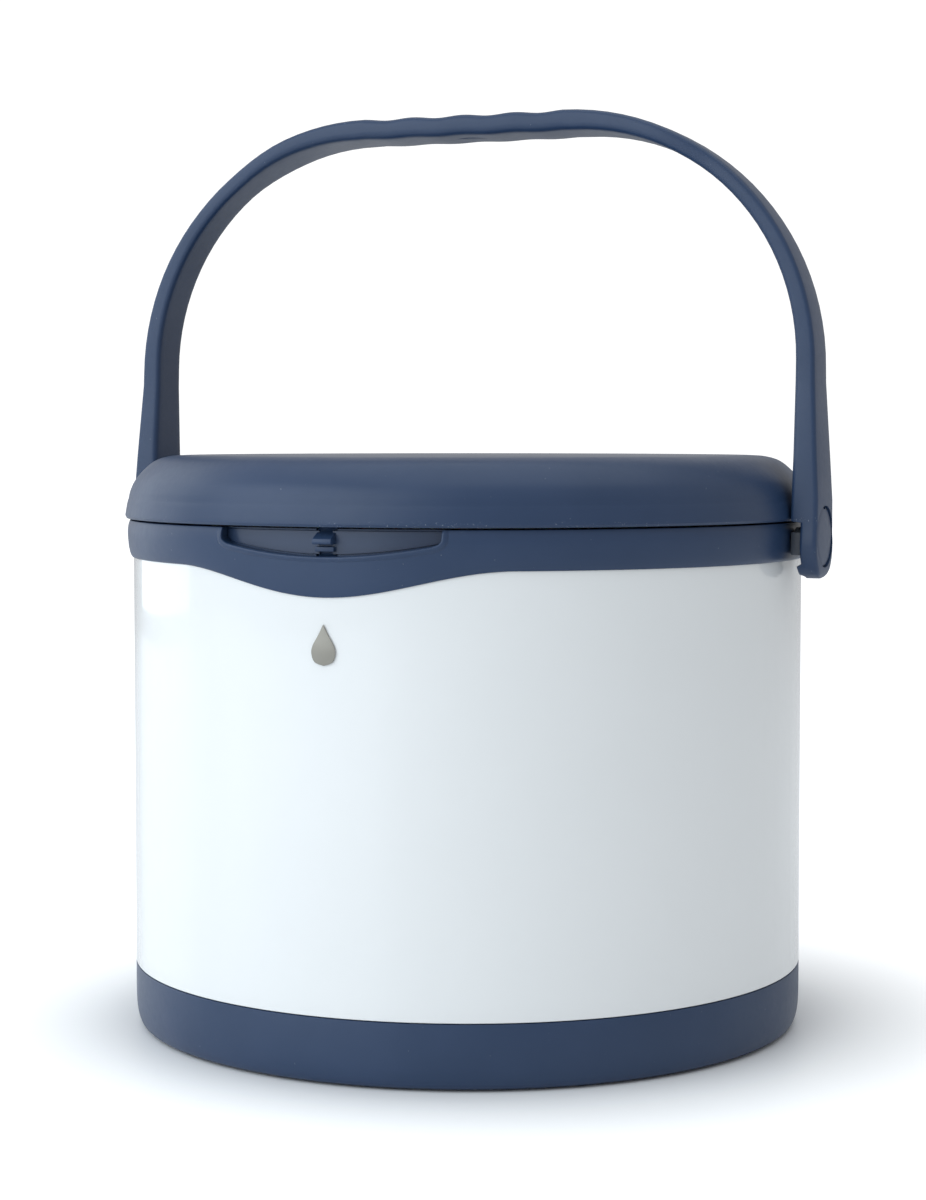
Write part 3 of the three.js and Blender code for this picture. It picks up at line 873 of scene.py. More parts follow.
@dataclass
class PanScrew:
    """A pan-head screw with a cross recess."""

    head_radius: float
    head_height: float
    shank_radius: float
    length: float
    thread_pitch: float = 1.1

    def build(self, name: str, x: float, y: float, head_end: float, up: int) -> bpy.types.Object:
        """Makes one screw along Z.

        Args:
            name: The piece's name.
            x: Its axis.
            y: Its axis.
            head_end: Height of the head's outer face.
            up: 1 if the shank points up from the head, -1 if down.

        Returns:
            The screw.
        """
        outline = [(0.0, 0.0), (self.head_radius * 0.55, 0.05), (self.head_radius * 0.9, self.head_height * 0.35)]
        outline += [(self.head_radius, self.head_height * 0.7), (self.head_radius, self.head_height)]
        outline.append((self.shank_radius, self.head_height))
        turns = int((self.length - 2) / self.thread_pitch)
        for i in range(turns):
            z = self.head_height + 0.6 + i * self.thread_pitch
            outline += [(self.shank_radius * 0.82, z), (self.shank_radius, z + self.thread_pitch / 2)]
        outline += [(self.shank_radius * 0.6, self.head_height + self.length - 0.6)]
        outline += [(0.0, self.head_height + self.length)]
        place = Matrix.Translation((x, y, head_end)) @ Matrix.Diagonal((1, 1, up, 1))
        screw = turned(name, outline, place, 24)
        arm = self.head_radius * 0.62
        width = self.head_radius * 0.13
        depth = self.head_height * 0.55
        floor, mouth = sorted((head_end + up * depth, head_end - up))
        return carve(
            screw,
            [block("cross", Vector((x - across, y - along, floor)), Vector((x + across, y + along, mouth)))
             for across, along in ((arm, width), (width, arm))],
        )


# ---- base -----------------------------------------------------------------------------------------------------


@dataclass
class Base:
    """The blue base cup, its anti-slip pad and its screws."""

    shop: Workshop
    radius: float = 130.0
    top: float = 24.3
    foot_level: float = 0.6
    pad_radius: float = 98.0
    pad_height: float = 3.0
    screw_circle: float = 112.0

    def build(self) -> None:
        """Makes the base's pieces."""
        self._cup()
        self._pad()
        self._screws()

    def _cup(self) -> None:
        """The cup, with its rounded foot and the counterbores of its screws."""
        recess = self.pad_radius + 0.8
        foot = through(
            [(126.2, 0.6), (128.0, 1.5), (128.95, 3.4), (129.55, 6.0), (129.87, 9.0), (self.radius, 13.0)], 4
        )
        wall = rounded(
            [(self.radius, 14, 0), (self.radius, self.top, 0.5), (128.6, self.top, 0.2), (128.6, 29, 0.5)]
            + [(126.4, 29, 0.5), (126.4, 8, 2), (123.4, 5.8, 2), (0, 5.8, 0)],
            3,
            closed=False,
        )
        floor = rounded([(0, self.pad_height + 0.3, 0), (recess, self.pad_height + 0.3, 0.4)]
                        + [(recess, self.foot_level, 0.5), (recess + 4, self.foot_level, 0)], 3, closed=False)
        cup = spun("base_cup_skin", [*floor, *foot, *wall], 192, closed=False)
        bore = [(0.0, -1.0), (4.6, -1.0), (4.2, self.foot_level + 0.4), (4.2, 4.0), (2.1, 4.0), (2.1, 9.0), (0, 9)]
        cutters = [
            turned("counterbore", bore, Matrix.Translation((x, y, 0)), 40)
            for x, y in circle_places(self.screw_circle, 3, 90)
        ]
        self.shop.dress(carve(cup, cutters), Slot.BLUE, Body.ROOT, "base_cup")

    def _pad(self) -> None:
        """The pad, with concentric ribs that grip the table."""
        outline: list[Point] = [(0.0, 0.0)]
        rib = 9.0
        radius = 14.0
        while radius < self.pad_radius - 6:
            outline += [(radius, 0.0), (radius + 0.6, 0.9), (radius + 2.2, 0.9), (radius + 2.8, 0.0)]
            radius += rib
        outline += [(self.pad_radius - 1.2, 0), (self.pad_radius - 0.3, 0.3), (self.pad_radius, 1.2)]
        outline += [(self.pad_radius, self.pad_height), (0, self.pad_height)]
        pad = spun("anti_slip_pad_ribbed", outline, closed=False)
        self.shop.dress(pad, Slot.RUBBER, Body.ROOT, "anti_slip_pad")

    def _screws(self) -> None:
        """The three screws that hold the cup to the vessel."""
        screw = PanScrew(3.6, 2.0, 1.6, 21.5)
        for i, (x, y) in enumerate(circle_places(self.screw_circle, 3, 90), 1):
            piece = screw.build(f"base_screw_{i}_cross", x, y, 1.6, 1)
            self.shop.dress(piece, Slot.FASTENER, Body.ROOT, f"base_screw_{i}")


# ---- vessel ---------------------------------------------------------------------------------------------------


@dataclass
class Vessel:
    """The enamelled outer shell, the steel inner liner and the pot with its ears."""

    shop: Workshop
    radius: float = 130.0
    shell_low: float = 24.6
    shell_top: float = 184.0
    neck: float = 117.7
    liner_radius: float = 108.0
    liner_floor: float = 32.0
    pot_radius: float = 101.0
    pot_rim: float = 176.0

    def build(self) -> None:
        """Makes the vessel's pieces."""
        self._shell()
        self._liner()
        self._pot()
        for name, side in SIDES:
            self._ear(name, side)
        self._mark()

    def _shell(self) -> None:
        """The white shell with a soft lower edge and a rolled neck."""
        outline = rounded(
            [(self.radius - 0.9, self.shell_low, 0.3), (self.radius, self.shell_low, 0.45)]
            + [(self.radius, self.shell_top, 1.0), (self.neck + 0.4, self.shell_top, 0.2)]
            + [(self.neck + 0.4, self.shell_top - 1, 0.2), (self.radius - 1, self.shell_top - 1, 0.6)],
            4,
        )
        dense = subdivide_outline(outline, 6.0)
        self.shop.dress(spun("outer_shell_enamel", dense, 224), Slot.ENAMEL, Body.ROOT, "outer_shell")

    def _liner(self) -> None:
        """The liner, with a wide corner radius at its floor and a flat lip at its mouth."""
        wall = self.liner_radius - 1
        outline = rounded(
            [(0, self.liner_floor, 0), (self.liner_radius, self.liner_floor, 9)]
            + [(self.liner_radius, self.shell_top - 1, 0.8), (self.neck, self.shell_top - 1, 0.2)]
            + [(self.neck, self.shell_top, 0.2), (wall, self.shell_top, 1.6), (wall, self.liner_floor + 1, 8)]
            + [(0, self.liner_floor + 1, 0)],
            8,
            closed=False,
        )
        self.shop.dress(spun("inner_liner_brushed", outline, 144, closed=False), Slot.STEEL, Body.ROOT, "inner_liner")

    def _pot(self) -> None:
        """The pot, with a rolled rim, two level rings pressed in its wall and a raised floor disc."""
        low = self.liner_floor + 1.3
        outer = self.pot_radius
        inner = outer - 0.9
        outline = rounded([(0, low, 0), (outer, low, 11), (outer, self.pot_rim - 4, 0)], 8, closed=False)
        roll = [
            (outer + 1.15 + 1.1 * math.cos(a), self.pot_rim - 1.1 + 1.1 * math.sin(a))
            for a in (math.radians(d) for d in range(-150, 151, 30))
        ]
        outline += [(outer, self.pot_rim - 2.2), *roll, (inner, self.pot_rim - 0.8)]
        for level in (150.0, 112.0):
            outline += [(inner, level + 1.4), (inner - 0.45, level), (inner, level - 1.4)]
        outline += rounded(
            [(inner, 60, 0), (inner, low + 0.9, 10.5), (62, low + 0.9, 2), (60, low + 2.0, 2), (0, low + 2.0, 0)],
            8,
            closed=False,
        )
        self.shop.dress(spun("inner_pot_rolled", outline, 144, closed=False), Slot.POT_STEEL, Body.ROOT, "inner_pot")

    def _ear(self, name: str, side: int) -> None:
        """A bent-wire lifting ear, with the plate that holds it to the pot.

        Args:
            name: left or right.
            side: -1 or 1 along X.
        """
        ride_radius = self.pot_radius + 3.7
        corner = 7.0
        flat = rounded(
            [(-16, 156, 0), (-16, 181, corner), (16, 181, corner), (16, 156, 0)], 8, closed=False
        )
        bm = bmesh.new()
        wire = subdivide_outline(flat, 3.0, closed=False)
        bridge_rings(bm, tube_rings([around(s, z, ride_radius, side) for s, z in wire], 1.45, 14))
        plate_radius = self.pot_radius + 0.35
        corners = rounded([(-20, 150.5, 4), (20, 150.5, 4), (20, 160, 4), (-20, 160, 4)], 4)
        plate = [around(s, z, plate_radius, side) for s, z in subdivide_outline(corners, 4.0)]
        outward = Vector((side, 0, 0)) * 2.0
        add_prism(bm, plate, outward, 0.3)
        for s in (-16.0, 16.0):
            centre = around(s, 155.5, self.pot_radius + 1.6, side)
            angle = side * math.pi / 2
            place = Matrix.Translation(centre) @ Matrix.Rotation(angle, 4, "Y")
            add_lathe_part(bm, [(0, 2.7), (1.6, 2.4), (2.6, 1.5), (2.8, 0), (0, 0)][::-1], place, 20)
        self.shop.dress(finish_mesh(f"pot_ear_{name}_wire", bm), Slot.POT_STEEL, Body.ROOT, f"pot_ear_{name}")

    def _mark(self) -> None:
        """A plain drop-shaped mark on the front of the shell."""
        half = through([(0, 162.5), (2.0, 158.6), (4.1, 155.0), (4.6, 152.2), (3.4, 149.2), (0, 148.0)], 6)
        outline = [*half, *[(-x, z) for x, z in half[-2:0:-1]]]
        bm = bmesh.new()
        face = [Vector((x, -self.radius - 0.28, z)) for x, z in outline]
        add_prism(bm, face, Vector((0, -0.4, 0)), 0.15)
        self.shop.dress(finish_mesh("body_mark_drop", bm), Slot.MARK, Body.ROOT, "body_mark")


def around(along: float, height: float, radius: float, side: int) -> Vector:
    """A point on a cylinder, a distance along it from the X axis on one side."""
    angle = along / radius
    return Vector((side * radius * math.cos(angle), radius * math.sin(angle), height))


def subdivide_outline(outline: Sequence[Point], longest: float, closed: bool = True) -> list[Point]:
    """Divides the long straight stretches of an outline.

    Args:
        outline: The outline's points.
        longest: The longest stretch that is left whole.
        closed: Whether the last point joins the first.

    Returns:
        The outline with the points added.
    """
    following = [*outline[1:], outline[0]] if closed else [*outline[1:], outline[-1]]
    points: list[Point] = []
    for (x0, y0), (x1, y1) in zip(outline, following):
        pieces = max(1, math.ceil(math.hypot(x1 - x0, y1 - y0) / longest))
        points += [(lerp(x0, x1, i / pieces), lerp(y0, y1, i / pieces)) for i in range(pieces)]
    return points


# ---- collar ---------------------------------------------------------------------------------------------------


@dataclass
class Collar:
    """The blue collar with its dipped skirt, finger recess, hinge lugs and screws."""

    shop: Workshop
    low: float = 181.3
    dip: float = 9.6
    stretch_from: float = 185.5
    top: float = 195.5
    floor: float = 184.3
    seat_radius: float = 117.2
    seat_level: float = 193.0
    mouth: float = 111.5
    recess_half: float = 42.5
    panel_radius: float = 127.5
    screw_circle: float = 124.4

    face: tuple[Point, ...] = (
        (181.3, 130.5), (182.0, 131.0), (183.4, 131.5), (186.0, 131.98), (190.5, 132.3), (193.5, 132.05),
        (195.5, 131.4),
    )

    def build(self) -> None:
        """Makes the collar's pieces."""
        self._ring()
        self._bead()
        for name, side in SIDES:
            self._panel(name, side)
            self._lug(name, side)
        screw = PanScrew(3.1, 2.2, 1.5, 8.3)
        for i, (x, y) in enumerate(circle_places(self.screw_circle, 4, 45), 1):
            piece = screw.build(f"collar_screw_{i}_cross", x, y, 195.2, -1)
            self.shop.dress(piece, Slot.FASTENER, Body.ROOT, f"collar_screw_{i}")
        self._hinge_pin()

    def recess_edge(self) -> list[Point]:
        """The recess's lower edge.

        Returns:
            (x, z) points from its left shoulder to its right one.
        """
        half: list[Point] = []
        spans = (
            ((self.recess_half, 192.2), (self.recess_half, 190.2), (38.5, 189.4), 6),
            ((38.5, 189.4), (18.0, 185.7), (0.0, 185.7), 14),
        )
        for (x0, z0), (x1, z1), (x2, z2), steps in spans:
            for i in range(steps):
                t = i / steps
                weights = ((1 - t) ** 2, 2 * t * (1 - t), t * t)
                half.append((weights[0] * x0 + weights[1] * x1 + weights[2] * x2,
                             weights[0] * z0 + weights[1] * z1 + weights[2] * z2))
        return [*[(-x, z) for x, z in half], (0.0, 185.7), *half[::-1]]

    def on_face(self, x: float, z: float, height: float) -> Vector:
        """A point a height above the collar's face, at the front."""
        radius = table(self.face, z) + height
        return Vector((x, -math.sqrt(radius**2 - x**2), z))

    def _ring(self) -> None:
        """The ring: spun, its skirt stretched down at the front, then cut."""
        outside = through([(radius, z) for z, radius in self.face], 4)
        outline = rounded(
            [(130.28, self.low, 0), *[(r, z, 0) for r, z in outside[:-1]], (131.4, self.top, 0.9)]
            + [(self.seat_radius, self.top, 0.5), (self.seat_radius, self.seat_level, 0.3)]
            + [(self.mouth, self.seat_level, 0.6), (self.mouth, self.floor, 0.3), (130.28, self.floor, 0)],
            4,
        )
        bm = bmesh.new()
        spin_outline(bm, outline, 240)
        for vert in bm.verts:
            if vert.co.z > self.stretch_from or vert.co.xy.length < 130:
                continue
            angle = math.atan2(vert.co.x, -vert.co.y)
            if abs(angle) < math.pi / 6:
                share = (self.stretch_from - vert.co.z) / (self.stretch_from - self.low)
                vert.co.z -= self.dip * math.cos(3 * angle) ** 2 * share
        ring = finish_mesh("collar_ring", bm)
        self.shop.dress(carve(ring, self._cutters()), Slot.BLUE, Body.ROOT, "collar")

    def _lug(self, name: str, side: int) -> None:
        """One hinge lug with its rounded barrel.

        Args:
            name: left or right.
            side: -1 or 1 along X.
        """
        x0, x1 = sorted((side * 15.0, side * 24.0))
        bm = bmesh.new()
        add_block(bm, Vector((x0, 128.5, 186.5)), Vector((x1, HINGE_Y + 2.6, 195.4)), 0.8)
        hinge_barrel(bm, x0, x1 - x0)
        self.shop.dress(finish_mesh(f"hinge_lug_{name}", bm), Slot.BLUE, Body.ROOT, "collar")

    def _cutters(self) -> list[bpy.types.Object]:
        """The solids taken out of the ring.

        Returns:
            The recess, the catch's slot and the screws' counterbores.
        """
        recess = bmesh.new()
        rings = []
        for x, z in self.recess_edge():
            back = -math.sqrt(self.panel_radius**2 - x**2)
            rings.append([Vector((x, -140, z)), Vector((x, back, z)), Vector((x, back, 199)), Vector((x, -140, 199))])
        bridge_rings(recess, rings)
        slot = block("slot", Vector((-4.1, -129.5, 185.9)), Vector((4.1, -118.6, 199)))
        bore = [(0, 185.5), (1.9, 185.5), (1.9, 192.6), (3.6, 192.6), (3.6, 196.5), (0, 196.5)]
        bores = [
            turned("bore", bore, Matrix.Translation((x, y, 0)), 36)
            for x, y in circle_places(self.screw_circle, 4, 45)
        ]
        return [finish_mesh("recess", recess), slot, *bores]

    def _bead(self) -> None:
        """The soft raised bead that frames the recess and lines its wall."""
        edge = self.recess_edge()
        path = [(-self.recess_half, 195.1), (-self.recess_half, 193.6), *edge]
        path += [(self.recess_half, 193.6), (self.recess_half, 195.1)]
        section = [(2.1, -0.5), (2.1, 0.02), (1.75, 0.2), (1.2, 0.52), (0.7, 0.66), (0.25, 0.62), (-0.05, 0.4)]
        section += [(-0.2, 0.0), (-0.25, -1.2), (-0.25, -4.6), (0.6, -4.6), (0.6, -0.5)]
        rings = []
        for i, (x, z) in enumerate(path):
            ahead, behind = path[min(i + 1, len(path) - 1)], path[max(i - 1, 0)]
            along = Vector((ahead[0] - behind[0], ahead[1] - behind[1])).normalized()
            outward = Vector((along.y, -along.x))
            fade = ease(0, 2.2, 195.6 - z) * 0.75 + 0.25
            rings.append(
                [self.on_face(x + outward.x * out, z + outward.y * out, up * (fade if up > 0 else 1))
                 for out, up in section]
            )
        bm = bmesh.new()
        bridge_rings(bm, rings)
        self.shop.dress(finish_mesh("finger_recess_bead", bm, 50), Slot.BLUE, Body.ROOT, "collar")

    def _panel(self, name: str, side: int) -> None:
        """One half of the panel at the back of the recess, either side of the catch.

        Args:
            name: left or right.
            side: -1 or 1 along X.
        """
        inset = 0.75
        bm = bmesh.new()
        rings = []
        edge = [(x, z) for x, z in self.recess_edge() if side * x > 0 and abs(x) < self.recess_half - 0.3]
        edge.append((side * 4.75, 185.9))
        for x, z in sorted(edge, key=lambda p: abs(p[0])):
            ring = []
            for radius, low, high in ((self.panel_radius + 0.5, 0.25, 0.25), (self.panel_radius - 0.3, 0, 0)):
                y = -math.sqrt(radius**2 - x**2)
                ends = [Vector((x, y, z + inset + low)), Vector((x, y, self.top - 0.5 - high))]
                ring += ends if not ring else ends[::-1]
            rings.append(ring)
        bridge_rings(bm, rings)
        self.shop.dress(finish_mesh(f"finger_recess_panel_{name}", bm), Slot.LID_PLATE, Body.ROOT, "collar")

    def _hinge_pin(self) -> None:
        """The lid's hinge pin, with a domed head and a rounded tip."""
        outline = [(0, -25.4), (1.2, -25.4), (1.6, -25.0), (1.6, 24.4), (2.6, 24.4), (2.9, 24.8), (2.8, 25.6)]
        outline += [(1.9, 26.1), (0, 26.2)]
        pin = turned("hinge_pin_domed", outline, along_x(0, HINGE_Y, HINGE_Z))
        self.shop.dress(pin, Slot.FASTENER, Body.ROOT, "hinge_pin")


# ---- latch ----------------------------------------------------------------------------------------------------


@dataclass
class Latch:
    """The sprung catch at the front of the collar."""

    shop: Workshop
    half_width: float = 3.6
    pivot_y: float = -124.9
    pivot_z: float = 187.7
    spring_front: float = -121.65
    spring_back: float = -119.3
    spring_seat: float = -119.0
    spring_z: float = 192.4
    coil_radius: float = 1.5

    def build(self) -> None:
        """Makes the catch and its spring."""
        self._catch()
        self._spring()

    def _catch(self) -> None:
        """The catch, with a sloped nose over a thumb ledge."""
        side = [
            (-126.6, 186.8), (-127.0, 187.6), (-129.6, 187.6), (-129.6, 189.3), (-127.8, 189.4), (-127.8, 190.2),
            (-131.6, 190.2), (-132.0, 190.9), (-131.8, 192.1), (-127.0, 194.8), (-126.2, 196.2), (-124.9, 198.0),
            (-124.6, 200.5), (-127.6, 200.5), (-127.7, 201.2), (-125.2, 203.0), (-122.6, 203.0), (-122.4, 190.0),
            (-122.6, 186.8),
        ]
        bm = bmesh.new()
        outline = [Vector((-self.half_width, y, z)) for y, z in side]
        add_prism(bm, outline, Vector((2 * self.half_width, 0, 0)), 0.22)
        ear = [(0, -3.6), (2.2, -3.6), (2.4, -3.4), (2.4, 3.4), (2.2, 3.6), (0, 3.6)]
        add_lathe_part(bm, ear, along_x(0, self.pivot_y, self.pivot_z), 28)
        self.shop.dress(finish_mesh("latch_catch_nose", bm), Slot.BLUE, Body.CATCH, "latch_catch")

    def _spring(self) -> None:
        """The coil spring behind the catch, made at one fixed length."""
        turns, steps = 4, 112
        path = []
        for i in range(steps + 1):
            angle = FULL_TURN * turns * i / steps
            along = lerp(self.spring_front, self.spring_back, i / steps)
            path.append(
                Vector((self.coil_radius * math.cos(angle), along, self.spring_z + self.coil_radius * math.sin(angle)))
            )
        bm = bmesh.new()
        bridge_rings(bm, tube_rings(path, 0.25, 10))
        spring = finish_mesh("latch_spring_coil", bm, 60)
        self.shop.dress(spring, Slot.FASTENER, Body.ROOT, "latch_spring")
        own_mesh(spring)


# ---- lid ------------------------------------------------------------------------------------------------------


@dataclass
class Lid:
    """The domed lid with its plate, steel liner, gasket, keeper and screws."""

    shop: Workshop
    low: float = 196.25
    top: float = 220.3
    ceiling: float = 215.8
    plate_radius: float = 108.0
    screw_circle: float = 109.3

    def build(self) -> None:
        """Makes the lid's pieces."""
        self._shell()
        self._plate()
        self._liner()
        self._gasket()
        self._keeper()
        screw = PanScrew(2.5, 1.7, 1.5, 13.0)
        for i, (x, y) in enumerate(circle_places(self.screw_circle, 4, 45), 1):
            piece = screw.build(f"lid_screw_{i}_cross", x, y, 195.0, 1)
            self.shop.dress(piece, Slot.FASTENER, Body.LID, f"lid_screw_{i}")

    def _shell(self) -> None:
        """The dome: a soft shoulder, the rim band, the screw bosses and the hinge knuckle."""
        shoulder = through(
            [(111.0, 220.28), (116, 219.9), (121.1, 218.4), (125.3, 215.3), (129.1, 211.0), (131.1, 207.0)]
            + [(131.75, 204.4)]
        )
        rim = [(131.84, 203.9), (131.98, 203.45), (132.2, 202.9), (132.5, 201.6), (132.95, 199.0), (133.2, 197.5)]
        rim += [(133.18, 197.1), (133.0, 196.88), (132.7, self.low)]
        inside = through([(130.9, self.low), (129.7, 204), (126.5, 210), (121, 214.5), (115, self.ceiling)], 4)
        bm = bmesh.new()
        well = self.plate_radius + 0.5
        outline = [(0, 218.2), (well, 218.2), (well, 219.9), (well + 0.4, self.top), *shoulder, *rim, *inside]
        spin_outline(bm, [*outline, (0, self.ceiling)], 240, closed=False)
        for x, y in circle_places(self.screw_circle, 4, 45):
            boss = [(0, 198.4), (1.8, 198.4), (3.3, 198.4), (3.6, 198.8), (3.6, 216.4), (0, 216.4)]
            add_lathe_part(bm, boss, Matrix.Translation((x, y, 0)), 28)
        half = 14.6
        add_block(bm, Vector((-half, 129, self.low)), Vector((half, HINGE_Y, 200.4)), 0.8)
        hinge_barrel(bm, -half, 2 * half)
        self.shop.dress(finish_mesh("lid_shell_dome", bm), Slot.BLUE, Body.LID, "lid_shell")

    def _plate(self) -> None:
        """The flat plate let into the top, with a fine groove near its rim."""
        edge = self.plate_radius
        outline = rounded([(0, 218.5, 0), (edge, 218.5, 0.3), (edge, self.top, 0.6), (100.6, self.top, 0.2)]
                          + [(100.2, self.top - 0.4, 0.2), (99.4, self.top - 0.4, 0.2), (99, self.top, 0.2)]
                          + [(0, self.top, 0)], 3, closed=False)
        plate = spun("lid_top_plate_grooved", outline, 192, closed=False)
        self.shop.dress(plate, Slot.LID_PLATE, Body.LID, "lid_top_plate")

    def _liner(self) -> None:
        """The steel dish under the lid, with rounded corners and one pressed ring."""
        under = [(0, 187.1, 0), (58, 187.1, 1), (60, 187.9, 1), (72, 187.9, 1), (74, 187.1, 1), (97.6, 187.1, 4)]
        under += [(103.2, 190.4, 3), (105.4, 197, 1.5), (117, 197, 0.2), (117, 198, 0.2), (104.6, 198, 1.5)]
        over = [(102.4, 191, 3), (97.2, 188.1, 4), (75, 188.1, 1), (73, 188.9, 1), (59, 188.9, 1), (57, 188.1, 1)]
        outline = rounded([*under, *over, (0, 188.1, 0)], 5, closed=False)
        self.shop.dress(spun("lid_liner_dish", outline, 160, closed=False), Slot.STEEL, Body.LID, "lid_liner")

    def _gasket(self) -> None:
        """The soft ring with two sealing lips."""
        outline = rounded(
            [(112.3, 196.7, 0.3), (112.3, 194.6, 0.4), (113.4, 193.3, 0.3), (114.4, 194.6, 0.3)]
            + [(115.4, 193.3, 0.3), (116.7, 194.6, 0.4), (116.7, 196.7, 0.3)],
            4,
        )
        self.shop.dress(spun("lid_gasket_lips", outline, 160), Slot.SILICONE, Body.LID, "lid_gasket")

    def _keeper(self) -> None:
        """The folded steel strip that the catch hooks over."""
        side = [(-129, 199), (-125.2, 199), (-125.2, 200.2), (-128, 200.2), (-128, 204), (-129, 204)]
        bm = bmesh.new()
        add_prism(bm, [Vector((-6.5, y, z)) for y, z in side], Vector((13, 0, 0)), 0.15)
        self.shop.dress(finish_mesh("latch_keeper_strip", bm), Slot.FASTENER, Body.LID, "latch_keeper")


# ---- carry handle ---------------------------------------------------------------------------------------------


@dataclass
class CarryHandle:
    """The arched handle with its round arm ends, caps, pivot screws and washers."""

    shop: Workshop
    pivot_z: float = 190.4
    lean: float = -1.8
    hub_radius: float = 12.8
    hub_drop: float = 2.9
    cap_radius: float = 11.05
    gap_inner: float = 132.7
    gap_outer: float = 136.9
    tongue_half: float = 8.0
    tongue_drop: float = 7.1
    tongue_rise: float = 1.6
    pitch: float = 21.3
    wave: float = 0.38
    grip_top: float = 351.4
    grip_low: float = 343.9
    crown: float = 0.35
    outer: tuple[Point, ...] = (
        (174.7, 141.6), (175.3, 142.5), (176.4, 143.2), (178.2, 143.6), (204, 143.6), (226, 142.3), (250, 141.0),
    )
    inner: tuple[Point, ...] = (
        (175.4, 137.3), (176.2, 135.5), (179.2, 135.4), (180.2, 137.3), (195.4, 137.3), (195.9, 133.7), (197, 133.6),
        (256, 133.6),
    )
    half: tuple[Point, ...] = ((191.9, 12.03), (222, 11.0), (248, 9.3), (330, 9.3), (341, 12.2), (356, 12.2))

    def build(self) -> None:
        """Makes the handle's pieces."""
        self._arch()
        for name, side in SIDES:
            self._cap(name, side)
            self._screw(name, side)
            self._washer(name, side)

    def tilt(self) -> Matrix:
        """The lean of the resting handle about its pivots."""
        turn = Matrix.Rotation(math.radians(self.lean), 4, "X")
        return Matrix.Translation((0, 0, self.pivot_z)) @ turn @ Matrix.Translation((0, 0, -self.pivot_z))

    def half_width(self, z: float) -> float:
        """How wide the handle is from the side.

        Args:
            z: The height.

        Returns:
            Half its width there.
        """
        centre = self.pivot_z - self.hub_drop
        if z < centre + self.hub_radius * math.sin(math.radians(20)):
            return math.sqrt(max(self.hub_radius**2 - (z - centre) ** 2, 0.05))
        return table(self.half, z)

    def stations(self) -> list[tuple[Vector, Vector, float]]:
        """The right half's cross-sections from the arm's tip to the middle of the grip.

        Returns:
            (outer point, inner point, crown) for each, the points in X and Z.
        """
        centre = self.pivot_z - self.hub_drop
        heights = [centre - self.hub_radius * math.cos(math.radians(a)) for a in (6, 12, 18, 24, 30, 37, 45, 55)]
        heights += [176.2, 179.2, 179.7, 180.2, 182.5, 185, 188, 191, 193.5, 195.4, 195.65, 195.9, 196.6, 198.5, 201]
        heights += [204, 208, 213, 219, 225, 231, 237, 243, 248]
        made = []
        for z in sorted(heights):
            made.append((Vector((table(self.outer, z), z)), Vector((table(self.inner, z), z)), 0.0))
        for i in range(27):
            angle = math.radians(90 * i / 26)
            rise = self.grip_top + self.wave - 253
            out = Vector((41.5 + 99.5 * math.cos(angle), 253 + rise * math.sin(angle)))
            inn = Vector((46 + 87.6 * math.cos(angle), 255.9 + (self.grip_low - 255.9) * math.sin(angle)))
            made.append((out, inn, self.crown * ease(50, 85, math.degrees(angle))))
        steps = 26
        for i in range(1, steps + 1):
            x = 42.6 * (1 - i / steps)
            ripple = math.cos(FULL_TURN * x / self.pitch)
            over = Vector((min(x, 41.4), self.grip_top + self.wave * ripple))
            made.append((over, Vector((x, self.grip_low + self.wave * 0.5 * ripple)), self.crown))
        return made

    def section(self, out: Vector, inn: Vector, crown: float) -> list[Vector]:
        """One rounded cross-section.

        Args:
            out: Outer point in X and Z.
            inn: Inner point in X and Z.
            crown: How far the inner face bulges.

        Returns:
            The section's points.
        """
        middle = (out + inn) / 2
        half = self.half_width(middle.y)
        thick = (out - inn).length
        away = (out - inn).normalized()
        soft = min(lerp(1.7, 2.6, ease(290, 335, middle.y)), half * 0.8, thick * 0.45)
        inside = min(lerp(1.2, 3.0, ease(197, 230, middle.y)), half * 0.8, thick * 0.45)
        flat = [(thick, half, soft), (0, half, inside), (0, half * 0.5, 0), (0, 0, 0), (0, -half * 0.5, 0)]
        flat += [(0, -half, inside), (thick, -half, soft), (thick, -half * 0.5, 0), (thick, 0, 0)]
        flat += [(thick, half * 0.5, 0)]
        points = []
        for depth, across in rounded(flat, 5):
            share = (across / half) ** 2
            bulge = crown * (1 - share) * (1 - min(depth / thick, 1))
            rise = 0.3 * (1 - share) * (depth / thick)
            place = inn + away * (depth - bulge + rise)
            points.append(Vector((place.x, across, place.y)))
        return points

    def _arch(self) -> None:
        """The arch, skinned from its cross-sections, with round recesses for the caps."""
        right = [self.section(*station) for station in self.stations()]
        left = [[Vector((-p.x, p.y, p.z)) for p in ring] for ring in right[-2::-1]]
        bm = bmesh.new()
        bridge_rings(bm, [*right, *left])
        bmesh.ops.transform(bm, matrix=self.tilt(), verts=bm.verts)
        arch = finish_mesh("carry_handle_arch", bm, 40)
        cutters = []
        for _, side in SIDES:
            place = along_x(0, 0, self.pivot_z, side)
            cutters.append(turned("cap_well", [(0, 141.35), (11.5, 141.35), (11.5, 146), (0, 146)], place, 72))
            well = [(0, 131), (2.2, 131), (2.2, 139.2), (4.7, 139.2), (4.7, 142), (0, 142)]
            cutters.append(turned("screw_well", well, place, 40))
        self.shop.dress(carve(arch, cutters), Slot.BLUE, Body.HANDLE, "carry_handle")
        self._gate_pad()

